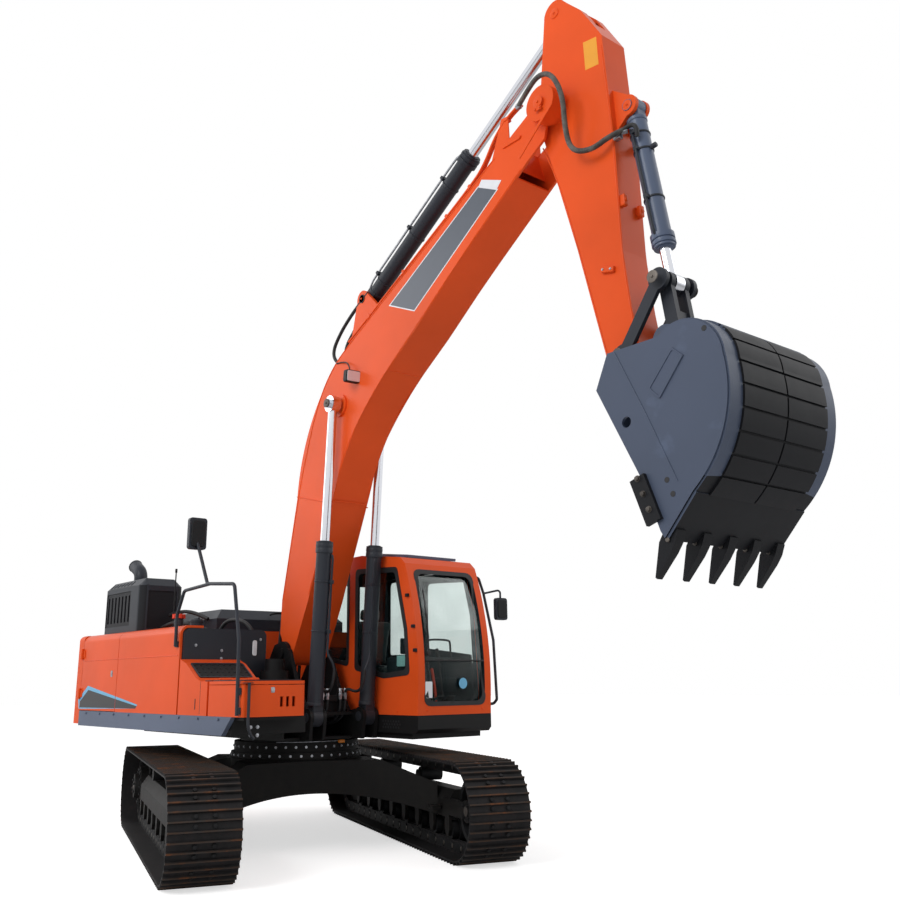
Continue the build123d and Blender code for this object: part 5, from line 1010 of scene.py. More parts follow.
class EXC_OT_deck(Operator):
    """Step plates with studs, tank fittings, filler caps, aerial, outlet and rail bolts."""

    bl_idname = "exc.deck"
    bl_label = "Deck"

    def execute(self, context):
        graphite, black = finishes["graphite"], finishes["black"]
        parts = {"base": [], "rim": [], "studs": []}
        for (x0, z0), (x1, z1) in (BOX_PROFILE[:2], BOX_PROFILE[2:]):
            start, along = at(x0, -1.41, z0), Vector((x1 - x0, 0, z1 - z0))
            made = tread_plate(start, along.normalized(), LEFT, along.length, 0.58)
            for key, part in zip(parts, made):
                parts[key].append(part)
        piece(join(*parts["base"], *parts["studs"]), "step_plates", "upper", black)
        piece(join(*parts["rim"]), "step_plate_rims", "upper", graphite)
        base, rim, studs = tread_plate(at(0.79, -1.42, BOX_TOP), FORWARD, LEFT, 0.62, 0.6)
        piece(join(base, studs), "lid_plate", "box_lid", black)
        piece(rim, "lid_plate_rim", "box_lid", graphite)
        cap = disc(upright(at(FILLER, CAPS_LINE, 2.26)), 0.078, 0.03, 0.008, 32)
        knob = block(at(FILLER, CAPS_LINE, 2.3), (0.12, 0.022, 0.02), 0.006)
        piece(join(cap, knob), "filler_cap", "upper", graphite)
        neck = disc(upright(at(COOLANT, CAPS_LINE, COVER_TOP)), 0.05, 0.13, 0.004, 28)
        piece(neck, "coolant_neck", "upper", graphite)
        top = disc(upright(at(COOLANT, CAPS_LINE, 2.325)), 0.065, 0.045, 0.012, 28)
        ribs = [block(at(COOLANT + x, CAPS_LINE + y, 2.345), (0.014, 0.014, 0.05), 0.003)
                for x, y in on_circle(10, 0.064)]
        piece(join(top, *ribs), "coolant_cap", "upper", finishes["cap"])
        # Black hoses over the covers by the tank
        runs = (
            [(-1.4, -1.0, 2.25), (-1.15, -1.0, 2.3), (-0.9, -0.98, 2.28), (-0.7, -0.9, 2.24),
             (-0.66, -0.8, 2.2)],
            [(-1.42, -0.9, 2.4), (-1.2, -0.86, 2.44), (-0.95, -0.78, 2.4), (-0.8, -0.72, 2.33)],
            [(-0.5, -0.72, 2.17), (-0.45, -0.7, 2.28), (-0.2, -0.66, 2.3), (-0.02, -0.6, 2.22),
             (0, -0.56, 2.1)],
        )
        hoses = [tube([at(*point) for point in run], 0.022) for run in runs]
        piece(join(*hoses), "cover_hoses", "upper", finishes["rubber"])
        foot = disc(upright(at(AERIAL, AERIAL_LINE, COVER_TOP)), 0.03, 0.05, 0.006, 16)
        line = in_side([(AERIAL, 2.22), (AERIAL, 2.55), (AERIAL + 0.005, 2.89)], AERIAL_LINE)
        mast = tube(line, 0.0075)
        tip = disc(upright(at(AERIAL + 0.005, AERIAL_LINE, 2.86)), 0.013, 0.045, 0.005, 12)
        piece(join(mast, foot, tip), "aerial", "upper", finishes["plastic"])
        # Tank face: screws and level glass
        spots = [(at(TANK_FACE, y, z), FORWARD)
                 for y, z in ((-1.29, 2.0), (-1.0, 1.95), (-1.0, 1.87), (-0.55, 2.07))]
        piece(bolts(spots, 0.022), "tank_screws", "upper", finishes["zinc"])
        gauge = plate(facing(at(TANK_FACE, -0.62, 1.98), FORWARD), oblong(0.05, 0.16, 0.02), 0.012, 0.003)
        piece(gauge, "tank_gauge", "upper", finishes["lens"])
        # Bolts of the rail's feet, and a brace with a small shelf beside the toolbox
        spots = [(at(1.45, y, z), FORWARD) for y in (-1.36, -1.29) for z in (1.17, 1.24)]
        piece(bolts(spots, 0.024), "rail_bolts", "upper", finishes["zinc"])
        brace = [*in_side([(1.47, 1.62), (1.475, 1.4), (1.47, 1.2)], BRACE_LINE), at(1.46, -1.33, 1.14)]
        shelf = plate(upright(at(1.42, BRACE_LINE, 1.62)), oblong(0.12, 0.1, 0.02), 0.006)
        piece(join(tube(brace, 0.014), shelf), "rail_brace", "upper", graphite)
        # The outlet's dark mouth, and the hood's handle, latch and louvres
        mouth = ring(upright(at(-2.42, -0.95, 3.06), (-0.85, 0, 0.5)), 0.078, 0.008, 1)
        piece(mouth, "outlet_rim", "upper", finishes["rubber"])
        line = [at(-0.66, 0.0, 2.39), at(-0.6, 0.0, 2.41), at(-0.6, 0.25, 2.41), at(-0.66, 0.25, 2.39)]
        handle = tube(line, 0.012)
        latch = block(at(-0.66, 0.62, 2.3), (0.05, 0.06, 0.1), 0.008)
        piece(join(handle, latch), "hood_handle", "hood", black)
        louvres = [block(at(-1.9 + 0.09 * i, 0.45, LOUVRE_LEVEL), (0.05, 0.55, 0.012), 0.004)
                   for i in range(11)]
        piece(join(*louvres), "hood_louvres", "hood", graphite)
        # The cover over the outlet: its recessed panels and slots are darker than its posts, a darker graphite
        # painted as shade
        cover = NODES["exhaust_cover"]
        cover.data.materials.append(finishes["dark"])
        low, high = (Vector(corner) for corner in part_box("exhaust_cover"))
        for polygon in cover.data.polygons:
            x, y, z = polygon.center
            from_side, from_front = y - low.y, high.x - x
            deep = min(from_side, from_front) > RECESS
            panel = deep and z < PANEL_TOP and abs(polygon.normal.z) < 0.5
            if panel or RECESS < from_side < SLOT_DEPTH or RECESS < from_front < SLOT_DEPTH:
                polygon.material_index = 1
        return {"FINISHED"}


# Cab

CAB_FACE = circle_through((1.587, 1.4), (1.545, 2.2), (1.37, 2.83))
WINDSCREEN = ((-0.405, 1.385), (0.405, 1.385), (0.405, 2.765), (-0.405, 2.765))
SIDE_WINDOW = ((0.48, 1.76), (1.01, 1.67), (1.44, 1.7), (1.4, 2.15), (1.225, 2.79), (0.48, 2.83))
REAR_SIDE_WINDOW = ((-0.24, 1.9), (0.34, 1.8), (0.34, 2.83), (-0.24, 2.83))
DOOR_WINDOW = ((0.49, 1.85), (1.37, 1.75), (1.33, 2.32), (1.215, 2.735), (0.49, 2.77))
DOOR_LOW_WINDOW = ((0.49, 1.42), (1.36, 1.42), (1.375, 1.66), (0.49, 1.74))
REAR_WINDOW = ((-0.38, 1.99), (0.38, 1.99), (0.38, 2.77), (-0.38, 2.77))
CAB_REAR = -0.32
CAB_FLOOR = 1.33
CAB_ROOF = 2.94
WINDOW_TOP = 2.83
WINDSCREEN_RAIL = 1.83
WIPER_FOOT = (0.56, 1.9)
HANDLE_HEIGHT = 1.78
MIRROR_DEPTH = 0.05
# How far a border or a film stands off the face that it lies on
TOUCH = 0.001


def cab_front(z):
    """Distance ahead of the swing axis of the cab's curved face at a height."""
    x, middle, radius = CAB_FACE
    return x + math.sqrt(radius**2 - (z - middle) ** 2)


class EXC_OT_cab(Operator):
    """Gaskets, wiper, stops, handles, mirrors, blank labels and base vents of the cab."""

    bl_idname = "exc.cab"
    bl_label = "Cab"

    def execute(self, context):
        seal, black = finishes["rubber"], finishes["plastic"]
        lines = [rounded(inset(WINDSCREEN, step), 0.09) for step in (-0.006, 0.04)]
        loops = ([at(cab_front(z) + 0.002, CAB_MIDDLE + y, z) for y, z in line] for line in lines)
        piece(band(*loops, 0.006), "windscreen_border", "upper", seal)
        x = cab_front(WINDSCREEN_RAIL) + 0.003
        level = [at(x, CAB_MIDDLE + y, WINDSCREEN_RAIL) for y in (-0.395, 0, 0.395)]
        piece(tube(level, 0.009, 2, 3), "windscreen_rail", "upper", seal)
        piece(gasket(SIDE_WINDOW, 0.06, CAB_RIGHT - TOUCH, 0.055), "right_window_border", "upper", seal)
        rear = join(gasket(REAR_SIDE_WINDOW, 0.06, CAB_RIGHT - TOUCH, 0.045),
                    gasket(REAR_SIDE_WINDOW, 0.06, CAB_LEFT + TOUCH, 0.045))
        piece(rear, "rear_side_window_borders", "upper", seal)
        lines = [rounded(inset(REAR_WINDOW, step), 0.06) for step in (-0.012, 0.03)]
        loops = ([at(CAB_REAR - TOUCH, CAB_MIDDLE + y, z) for y, z in line] for line in lines)
        piece(band(*loops, 0.008), "rear_window_border", "upper", seal)
        door = join(gasket(DOOR_WINDOW, 0.06, CAB_LEFT + TOUCH, 0.05),
                    gasket(DOOR_LOW_WINDOW, 0.05, CAB_LEFT + TOUCH, 0.045))
        piece(door, "door_window_borders", "door", seal)
        # The door's recessed handle, and the stops on the right pillar
        outline = [(0.5 + u, HANDLE_HEIGHT + v) for u, v in oblong(0.11, 0.07, 0.02)]
        cup = plate(side_plane(CAB_LEFT, False), outline, 0.006)
        grip = tube([at(x, CAB_LEFT + proud, HANDLE_HEIGHT)
                     for x, proud in ((0.46, 0.004), (0.47, 0.03), (0.53, 0.03), (0.54, 0.004))], 0.008)
        piece(join(cup, grip), "door_handle", "door", black)
        stops = [block(at(x, CAB_RIGHT - 0.012, z), (0.045, 0.03, 0.035), 0.006)
                 for x, z in ((1.425, 2.49), (1.526, 2.17), (1.558, 1.93))]
        piece(join(*stops), "pillar_stops", "upper", black)
        # Wiper on the right edge of the windscreen
        y, z = WIPER_FOOT
        foot = disc(facing(at(cab_front(z) + 0.002, y, z), FORWARD), 0.024, 0.03, 0.006, 16)
        arm, blade = (
            tube([at(cab_front(z) + proud, y, z) for y, z in line], radius)
            for proud, radius, line in (
                (0.026, 0.006, (WIPER_FOOT, (0.565, 2.1), (0.58, 2.3))),
                (0.014, 0.008, ((0.575, 2.05), (0.58, 2.3), (0.585, 2.55))),
            )
        )
        piece(join(foot, arm, blade), "wiper", "upper", seal)
        # Mirrors: silvered faces look back to the cab
        # Columns: side, rear face of its head, width and height of glass and of back, the back's corners
        mirrors = (
            ("right", (0.375, -1.476, 3.09), (0.16, 0.28), (0.15, 0.27), 0.04),
            ("left", (1.475, 1.665, 2.39), (0.13, 0.2), (0.13, 0.2), 0.035),
        )
        for word, spot, glass_size, *_ in mirrors:
            glass = plate(facing(at(*spot), -FORWARD), oblong(*glass_size, 0.03), 0.004, 0.001)
            piece(glass, f"{word}_mirror_glass", "upper", finishes["mirror"])
        backs = []
        for *_, spot, _, back_size, corner in mirrors:
            place = facing(at(*spot) + FORWARD * MIRROR_DEPTH, FORWARD)
            backs.append(plate(place, oblong(*back_size, corner), 0.012, 0.006))
        piece(join(*backs), "mirror_backs", "upper", black)
        # Blank round film and paper on the windscreen, and a paper inside the right window
        place = facing(at(cab_front(1.6) + TOUCH, 1.02, 1.6), FORWARD)
        piece(disc(place, 0.055, 0.001, 0, 32), "round_film", "upper", finishes["blue_film"])
        place = facing(at(cab_front(1.54) + TOUCH, 0.565, 1.54), FORWARD)
        paper = plate(place, oblong(0.09, 0.16, 0.01), 0.001, 0)
        piece(paper, "blank_paper", "upper", finishes["white_film"])
        paper = plate(facing(at(1.25, 0.47, 1.83), LEFT), oblong(0.14, 0.11, 0.01), 0.001, 0)
        piece(paper, "side_paper", "upper", finishes["pale_film"])
        # Base: three rows of punched vents at the front of the right side, drawn as dark discs of painted shade,
        # and screws along the sill
        holes = [facing(at(1.0 + 0.045 * i + 0.022 * (row % 2), CAB_RIGHT, 1.17 + 0.03 * row), -LEFT)
                 for row in range(3) for i in range(7)]
        discs = copies(disc(Matrix(), 0.012, 0.002, 0, 12), holes)
        piece(discs, "base_vent_shade_discs", "upper", finishes["rubber"])
        heads = [(at(x, CAB_RIGHT, 1.33), -LEFT) for x in (-0.1, 0.35, 0.8, 1.25)]
        heads += [(at(cab_front(1.4) + TOUCH, y, 1.34), FORWARD) for y in (0.55, 1.29)]
        heads += [(at(x, CAB_LEFT, 1.32), LEFT) for x in (-0.2, 0.2)]
        piece(bolts(heads, 0.018), "sill_screws", "upper", finishes["paint"])
        # Rain rail over the door, and the step under it
        rail = in_side([(-0.2, 2.88), (0.42, 2.885), (0.9, 2.885), (1.27, 2.85)], CAB_LEFT + 0.006)
        piece(tube(rail, 0.009), "rain_rail", "upper", finishes["paint"])
        hoop = tube([at(0.6, 1.44, 1.16), at(0.6, 1.46, 1.1), at(1.2, 1.46, 1.1), at(1.2, 1.44, 1.16)], 0.012)
        tread = block(at(0.9, 1.452, 1.12), (0.5, 0.02, 0.03), 0.004)
        piece(join(hoop, tread), "cab_step", "upper", finishes["black"])
        return {"FINISHED"}


# Cab's inside

CUSHION_PRESSURE = 4.0
CUSHION_VOXEL = 0.014
CLOTH_FRAMES = 15


def stuffed(obj, growth):
    """Swells a closed form like a cushion by cloth simulation, up to a growth, and smooths it."""
    select_only(obj)
    remesh = obj.modifiers.new("even", "REMESH")
    remesh.mode = "VOXEL"
    remesh.voxel_size = CUSHION_VOXEL
    bpy.ops.object.modifier_apply(modifier="even")
    before = [vertex.co.copy() for vertex in obj.data.vertices]
    cloth = obj.modifiers.new("filling", "CLOTH")
    cloth.settings.use_pressure = True
    cloth.settings.uniform_pressure_force = CUSHION_PRESSURE
    cloth.settings.effector_weights.gravity = 0
    cloth.settings.quality = 4
    scene = bpy.context.scene
    for number in range(1, CLOTH_FRAMES + 1):
        scene.frame_set(number)
    bpy.ops.object.modifier_apply(modifier="filling")
    scene.frame_set(1)
    for vertex, start in zip(obj.data.vertices, before):
        step = vertex.co - start
        if step.length > growth:
            vertex.co = start + step.normalized() * growth
    finer = obj.modifiers.new("finer", "SUBSURF")
    finer.levels = 1
    bpy.ops.object.modifier_apply(modifier="finer")
    return smooth(obj, 60)


class EXC_OT_cab_inside(Operator):
    """Stuffed seat on its box, consoles with levers, floor mat, pedals, door lining and monitor."""

    bl_idname = "exc.cab_inside"
    bl_label = "Cab inside"

    def execute(self, context):
        trim, plastic, seal = finishes["trim"], finishes["plastic"], finishes["rubber"]
        for name in ("cab_shell", "cab_door"):
            part = NODES[name]
            part.data.materials.append(trim)
            for polygon in part.data.polygons:
                x, y, z = polygon.center - Vector((SWING.x, 0, 0))
                behind_glass = z > WINDOW_TOP or x < cab_front(z) - 0.01
                inside = CAB_RIGHT + 0.01 < y < CAB_LEFT - 0.01 and CAB_FLOOR < z < CAB_ROOF
                inward = polygon.normal.dot(at(0.6, CAB_MIDDLE, 2.1) - polygon.center) > 0
                if inside and x > CAB_REAR + 0.01 and behind_glass and inward:
                    polygon.material_index = 1
        back_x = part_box("seat")[0].x - SWING.x
        middle = CAB_MIDDLE
        # Columns: name, X and Z of its middle, lean in degrees, size, growth
        cushions = (
            ("seat_cushion", back_x + 0.40, 1.715, -4, (0.48, 0.46, 0.12), 0.018),
            ("seat_back", back_x + 0.125, 2.06, 78, (0.52, 0.44, 0.1), 0.018),
            ("head_rest", back_x + 0.075, 2.375, 82, (0.13, 0.26, 0.08), 0.01),
        )
        for name, x, z, lean, size, growth in cushions:
            turn = Matrix.Rotation(math.radians(-lean), 4, "Y")
            form = block(Matrix.Translation(at(x, middle, z)) @ turn, size, 0.035, 4)
            pad = piece(stuffed(form, growth), name, "upper", finishes["cloth"])
            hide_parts("seat")
        rails = [block(at(back_x + 0.38, middle, 1.6), (0.46, 0.4, 0.1), 0.02),
                 block(at(back_x + 0.38, middle, 1.45), (0.4, 0.34, 0.21), 0.015)]
        bellows = [ring(at(back_x + 0.38, middle, 1.5 + 0.035 * i), 0.15, 0.02, 0.6)
                   for i in range(3)]
        base = join(*rails, *bellows)
        piece(base, "seat_base", "upper", plastic)
        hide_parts("seat")
        edge = ((0.18, 0.2, 1.775), (0.4, 0.205, 1.79), (0.62, 0.19, 1.785))
        piping = [tube([at(back_x + x, middle + side * y, z) for x, y, z in edge], 0.006) for side in (-1, 1)]
        piece(join(*piping), "seat_piping", "upper", seal)
        grips, consoles = [], []
        for side in (-1, 1):
            y = middle + side * 0.325
            consoles.append(block(at(back_x + 0.37, y, 1.82), (0.6, 0.12, 0.1), 0.03, 3))
            consoles.append(block(at(back_x + 0.3, y, 1.6), (0.34, 0.08, 0.36), 0.02))
            consoles.append(block(at(back_x + 0.24, y, 1.9), (0.3, 0.09, 0.05), 0.02, 3))
            x = back_x + 0.6
            stick = tube(in_side([(x, 1.86), (x + 0.01, 1.93), (x + 0.02, 2.0)], y), 0.009)
            boot = disc(upright(at(x, y, 1.865)), 0.045, 0.05, 0.004, 20, 0.016)
            grip = tube(in_side([(x + 0.02, 1.97), (x + 0.025, 2.03), (x + 0.01, 2.09)], y), 0.022)
            grips += [stick, boot, grip]
        console = join(*consoles)
        piece(console, "consoles", "upper", trim)
        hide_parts("seat")
        piece(join(*grips), "control_levers", "upper", seal)
        mat = block(at(0.98, middle, 1.35), (1.0, 0.8, 0.014), 0.004)
        ribs = [block(at(0.98, middle - 0.35 + 0.05 * i, 1.358), (0.94, 0.012, 0.006), 0.002)
                for i in range(15)]
        piece(join(mat, *ribs), "floor_mat", "upper", seal)
        pedals = []
        for side in (-1, 1):
            y = middle + side * 0.075
            pedals.append(block(basis(at(1.36, y, 1.42), (0.8, 0, 0.5)), (0.2, 0.1, 0.014), 0.005))
            pedals.append(tube(in_side([(1.3, 1.37), (1.28, 1.6), (1.22, 1.87)], y), 0.011))
            pedals.append(tube(in_side([(1.225, 1.85), (1.21, 1.91), (1.195, 1.96)], y), 0.018))
        piece(join(*pedals), "travel_pedals", "upper", seal)
        lever = tube([at(1.38, 0.83, 1.4), at(1.36, 0.83, 1.58), at(1.3, 0.84, 1.75)], 0.016)
        piece(lever, "safety_lever", "upper", finishes["cap"])
        screen = block(basis(at(1.22, 0.56, 1.98), (0.9, 0.35, 0)), (0.03, 0.2, 0.16), 0.01)
        post = tube([at(1.24, 0.56, 1.9), at(1.26, 0.54, 1.7), at(1.3, 0.52, 1.4)], 0.014)
        dash = block(at(1.2, 0.555, 1.62), (0.5, 0.12, 0.5), 0.03)
        piece(join(screen, post, dash), "monitor_pillar", "upper", trim)
        hoop = ((0.73, 1.85), (0.73, 2.02), (0.76, 2.05), (1.03, 2.05), (1.06, 2.02), (1.06, 1.85))
        grab = tube([at(1.35, y, z) for y, z in hoop], 0.011)
        ledge = block(at(1.35, middle, 1.85), (0.05, 0.82, 0.03), 0.008)
        piece(join(grab, ledge), "inner_grab_bar", "upper", seal)
        # Door lining: the pocket that closes the view under the upper window; it covers the lower window from
        # inside as a dark sheet of painted shade
        outline = ((0.5, 1.4), (1.36, 1.4), (1.4, 1.55), (1.36, 1.9), (0.5, 2.0))
        shade_pocket = plate(side_plane(CAB_LEFT - 0.056), outline, 0.03, 0.008, 2)
        shelf = block(at(0.9, CAB_LEFT - 0.1, 1.58), (0.5, 0.035, 0.16), 0.012)
        piece(join(shade_pocket, shelf), "door_lining_painted_shade", "door", trim)
        return {"FINISHED"}


# Boom, arm and bucket


def bar(start, end, width, thick):
    """A straight flat bar from one point to another."""
    run = end - start
    return block(basis((start + end) / 2, run), (run.length, width, thick), 0.004)


def along_cylinder(base, eye, y=0.0):
    """How a cylinder lies: a function for points by their distance from its base, over its axis and
    to its left, its direction, and the way over it."""
    way = (eye - base).normalized()
    over = Vector((-way.z, 0, way.x))

    def spot(s, over_by=0.0, side=0.0):
        return base + way * s + over * over_by + LEFT * (y + side)

    return spot, way, over


def pin_ends(name, middle, half, radius, body, finish, screws=True):
    """Caps on both ends of a pin: a turned face with a grease nipple, and where it has screws a keeper
    plate with two of them."""
    parts, heads = [], []
    for side in (-1, 1):
        out = LEFT * side
        place = facing(middle + out * half, out)
        parts.append(disc(place, radius, 0.008, 0.003, 28))
        parts.append(disc(place @ Matrix.Translation((0, 0, 0.008)), radius * 0.22, 0.01, 0.002, 12))
        if screws:
            reach = radius * 1.25
            keeper = oblong(radius * 1.5, radius * 0.6, 0.006, 2)
            parts.append(plate(place @ Matrix.Translation((0, -reach, 0)), keeper, 0.007))
            for share in (-0.5, 0.5):
                heads.append(facing(place @ Vector((share * radius, -reach, 0.007)), out))
    if heads:
        parts.append(copies(bolt(radius * 0.34), heads))
    return piece(join(*parts), name, body, finish)


BOOM_SIDE = 0.22
ARM_SIDE = 0.145
BUCKET_SIDE = 0.65
BOOM_CYLINDER_SIDE = 0.318
# Outlines and lines of a side view, X and Z: a slate field with a pale end, and the boxes' edges
FIELD = ((1.98, 5.38), (2.38, 5.2), (3.62, 6.0), (3.37, 6.13))
PALE_END = ((3.37, 6.13), (3.62, 6.0), (3.69, 6.07), (3.42, 6.19))
BOOM_BACK = ((-0.04, 2.15), (-0.02, 2.51), (0.24, 3.6), (0.42, 4.15), (0.63, 4.66), (0.92, 5.0),
             (1.28, 5.195), (2.5, 5.797), (3.6, 6.339), (4.05, 6.561))
BOOM_BELLY = ((0.54, 2.53), (1.0, 3.52), (1.13, 3.88), (1.3, 4.12), (1.6, 4.42), (1.92, 4.68), (2.39, 4.99),
              (2.98, 5.42), (3.95, 6.06))
ARM_REAR = ((4.15, 6.2), (4.3, 5.86), (4.51, 5.09), (4.75, 4.11), (4.83, 3.78))
ARM_FRONT = ((4.9, 6.85), (4.94, 6.32), (4.97, 5.79), (4.985, 4.92), (5.035, 4.43), (5.085, 4.11),
             (5.13, 3.8))


def edge_welds(name, lines, half, body):
    """Weld beads along both sides of a box: they follow its edges and lie on its side plates."""
    beads = []
    radius = bpy.context.scene.exc_sizes.weld
    for side in (-1, 1):
        for line in lines:
            beads.append(tube(in_side(line, side * half), radius, 3, 2))
    return piece(join(*beads), name, body, finishes["paint"])


def shifted(line, distance):
    """A side line moved across its run, to its left for a positive distance."""
    moved = []
    for i, (x, z) in enumerate(line):
        ahead = Vector(line[min(i + 1, len(line) - 1)]) - Vector(line[max(i - 1, 0)])
        ahead.normalize()
        moved.append((x - ahead.y * distance, z + ahead.x * distance))
    return moved


CLAMP_HEIGHT = 0.055


def clamp(name, point, along, out, width):
    """A pipe clamp on the boom: a block on a foot plate, with two screws on top."""
    place = basis(point, along, out)
    parts = [block(place @ Matrix.Translation((0, 0, CLAMP_HEIGHT / 2)), (0.035, width, CLAMP_HEIGHT), 0.005),
             block(place @ Matrix.Translation((0, 0, 0.004)), (0.06, width + 0.02, 0.008), 0.002)]
    screws = [facing(place @ Vector((0, side * width * 0.3, CLAMP_HEIGHT)), out, along) for side in (-1, 1)]
    parts.append(copies(bolt(0.016), screws))
    return piece(join(*parts), name, "boom", finishes["paint"])


class EXC_OT_boom(Operator):
    """Fields, welds, pipes, clamps, lamp and pin ends of the boom, and the hoses at its foot and bend."""

    bl_idname = "exc.boom"
    bl_label = "Boom"

    def execute(self, context):
        paint, seal, white = finishes["paint"], finishes["rubber"], finishes["white_film"]
        sizes = context.scene.exc_sizes
        for word, side in SIDES:
            y, over_edge = side * BOOM_SIDE, side * (BOOM_SIDE + 0.0012)
            plain_plate(f"{word}_field_edge", inset(FIELD, -0.012), y, white, 0.0012, "boom")
            plain_plate(f"{word}_field", FIELD, over_edge, finishes["slate_film"], 0.001, "boom")
            plain_plate(f"{word}_pale_end", PALE_END, over_edge, white, 0.001, "boom")
            weld = tube(in_side([(0.24, 3.63), (0.6, 3.545), (0.98, 3.45)], y), sizes.weld, 3, 2)
            outline = rounded([(3.72, 6.372), (3.95, 6.372), (3.98, 6.4), (3.74, 6.412)], 0.01, 2)
            doubler = plate(side_plane(y, side < 0), outline, 0.014)
            piece(join(weld, doubler), f"{word}_boom_seams", "boom", paint)
            rib = bar(at(4.05, side * 0.34, 6.09), at(4.47, side * 0.34, 6.43), 0.012, 0.03)
            piece(rib, f"{word}_fork_rib", "boom", paint)
        edges = (shifted(BOOM_BACK, -0.012)[1:-1], shifted(BOOM_BELLY, 0.012))
        edge_welds("boom_welds", edges, BOOM_SIDE, "boom")
        seams = [tube([at(x, y, z) for y in (-0.2, 0, 0.2)], sizes.weld, 3, 2)
                 for x, z in ((0.983, 3.48), (1.935, 4.69))]
        piece(join(*seams), "belly_seams", "boom", paint)
        # Lamp on its stalk over the bracket
        place = facing(at(1.43, -0.295, 4.735), Vector((1, -0.1, -0.12)))
        shell = plate(place @ Matrix.Translation((0, 0, -0.07)), oblong(0.17, 0.13, 0.02), 0.075, 0.008, 2)
        fins = [block(place @ Matrix.Translation((0.02 * i - 0.06, 0, -0.075)), (0.006, 0.1, 0.03), 0.001)
                for i in range(7)]
        piece(join(shell, *fins), "boom_lamp", "boom", finishes["plastic"])
        lens = plate(place @ Matrix.Translation((0, 0, 0.004)), oblong(0.15, 0.11, 0.015), 0.006, 0.002)
        piece(lens, "boom_lamp_lens", "boom", finishes["lens"])
        line = [at(1.37, -0.29, 4.72), at(1.33, -0.27, 4.86), at(1.2, -0.24, 4.98), at(1.0, -0.225, 5.0)]
        piece(tube(line, 0.007), "lamp_wire", "boom", seal)
        # Steel pipes: four up the back to the bend, and four over the top to the tip
        low = [(0.17, 3.32), *shifted(BOOM_BACK, 0.03)[2:7]]
        high = [(1.2, 5.2), (1.45, 5.315), (2.5, 5.832), (3.3, 6.227), (3.46, 6.36), (3.6, 6.56), (3.8, 6.7),
                (3.95, 6.735)]
        pipes = [tube(in_side(low, y), sizes.pipe) for y in (-0.12, -0.06, 0.06, 0.12)]
        pipes += [tube(in_side(high, y), sizes.pipe) for y in (-0.205, -0.175, 0.175, 0.205)]
        piece(join(*pipes), "boom_pipes", "boom", paint)
        way, out = Vector((0.89, 0, 0.44)), Vector((-0.44, 0, 0.89))
        for number, (x, z) in enumerate(((1.6, 5.353), (2.2, 5.649), (2.9, 5.994), (3.25, 6.166))):
            for word, side in SIDES:
                clamp(f"{word}_clamp_{number}", at(x, side * 0.19, z), way, out, 0.062)
        way, out = Vector((0.3, 0, 0.95)), Vector((-0.95, 0, 0.3))
        for number, (x, z) in enumerate(((0.236, 3.58), (0.5, 4.37))):
            clamp(f"back_clamp_{number}", at(x, 0, z), way, out, 0.32)
        outline = ((3.55, 6.31), (3.8, 6.43), (3.79, 6.69), (3.7, 6.7))
        stands = [plate(side_plane(y), outline, 0.012) for y in (-0.2, 0.2)]
        cross = [block(at(3.76, side * 0.19, 6.66), (0.05, 0.06, 0.02), 0.003) for side in (-1, 1)]
        piece(join(*stands, *cross), "hose_stands", "boom", paint)
        # Hoses from the deck up to the boom's back
        route = ((-0.22, 1.5), (-0.22, 1.75), (-0.19, 2.1), (-0.11, 2.5), (-0.01, 2.85), (0.08, 3.1),
                 (0.17, 3.32))
        hoses = [tube(in_side(route, y), sizes.hose) for y in (-0.135, -0.08, -0.025, 0.03, 0.085, 0.14)]
        hoses = piece(join(*hoses), "boom_foot_hoses", None, seal)
        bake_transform(hoses)
        rack = block(at(-0.22, 0, 1.52), (0.08, 0.36, 0.05), 0.008)
        piece(rack, "hose_bulkhead", "upper", finishes["black"])
        # Hoses from the pipes to the arm cylinder: one in a wide loop, two in a narrow one
        wide = [(0.93, 5.03), (0.8, 5.09), (0.74, 5.24), (0.9, 5.42), (1.1, 5.56), (1.25, 5.64), (1.42, 5.72)]
        narrow = [(1.0, 5.08), (0.92, 5.14), (0.94, 5.26), (1.08, 5.38), (1.22, 5.5), (1.32, 5.58),
                  (1.45, 5.68)]
        loops = [tube(in_side(route, y), sizes.hose)
                 for y, route in ((-0.11, wide), (-0.06, narrow), (0.06, narrow))]
        loops = piece(join(*loops), "bend_hoses", None, seal)
        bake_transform(loops)
        spots = [facing(at(*point), Vector((-0.8, 0, 0.5)))
                 for point in ((0.93, -0.11, 5.03), (1.0, -0.06, 5.08), (1.0, 0.06, 5.08))]
        piece(copies(disc(Matrix(), 0.025, 0.04, 0.004, 6), spots), "bend_fittings", "boom", finishes["zinc"])
        pin_ends("boom_tip_pin_ends", BOOM_TIP, 0.355, 0.055, "boom", paint)
        pin_ends("arm_cylinder_base_pin_ends", ARM_CYLINDER_BASE, 0.125, 0.045, "boom", paint, False)
        pin_ends("boom_rod_pin_ends", BOOM_CYLINDER_ROD, 0.4, 0.05, "boom", finishes["worn"], False)
        return {"FINISHED"}


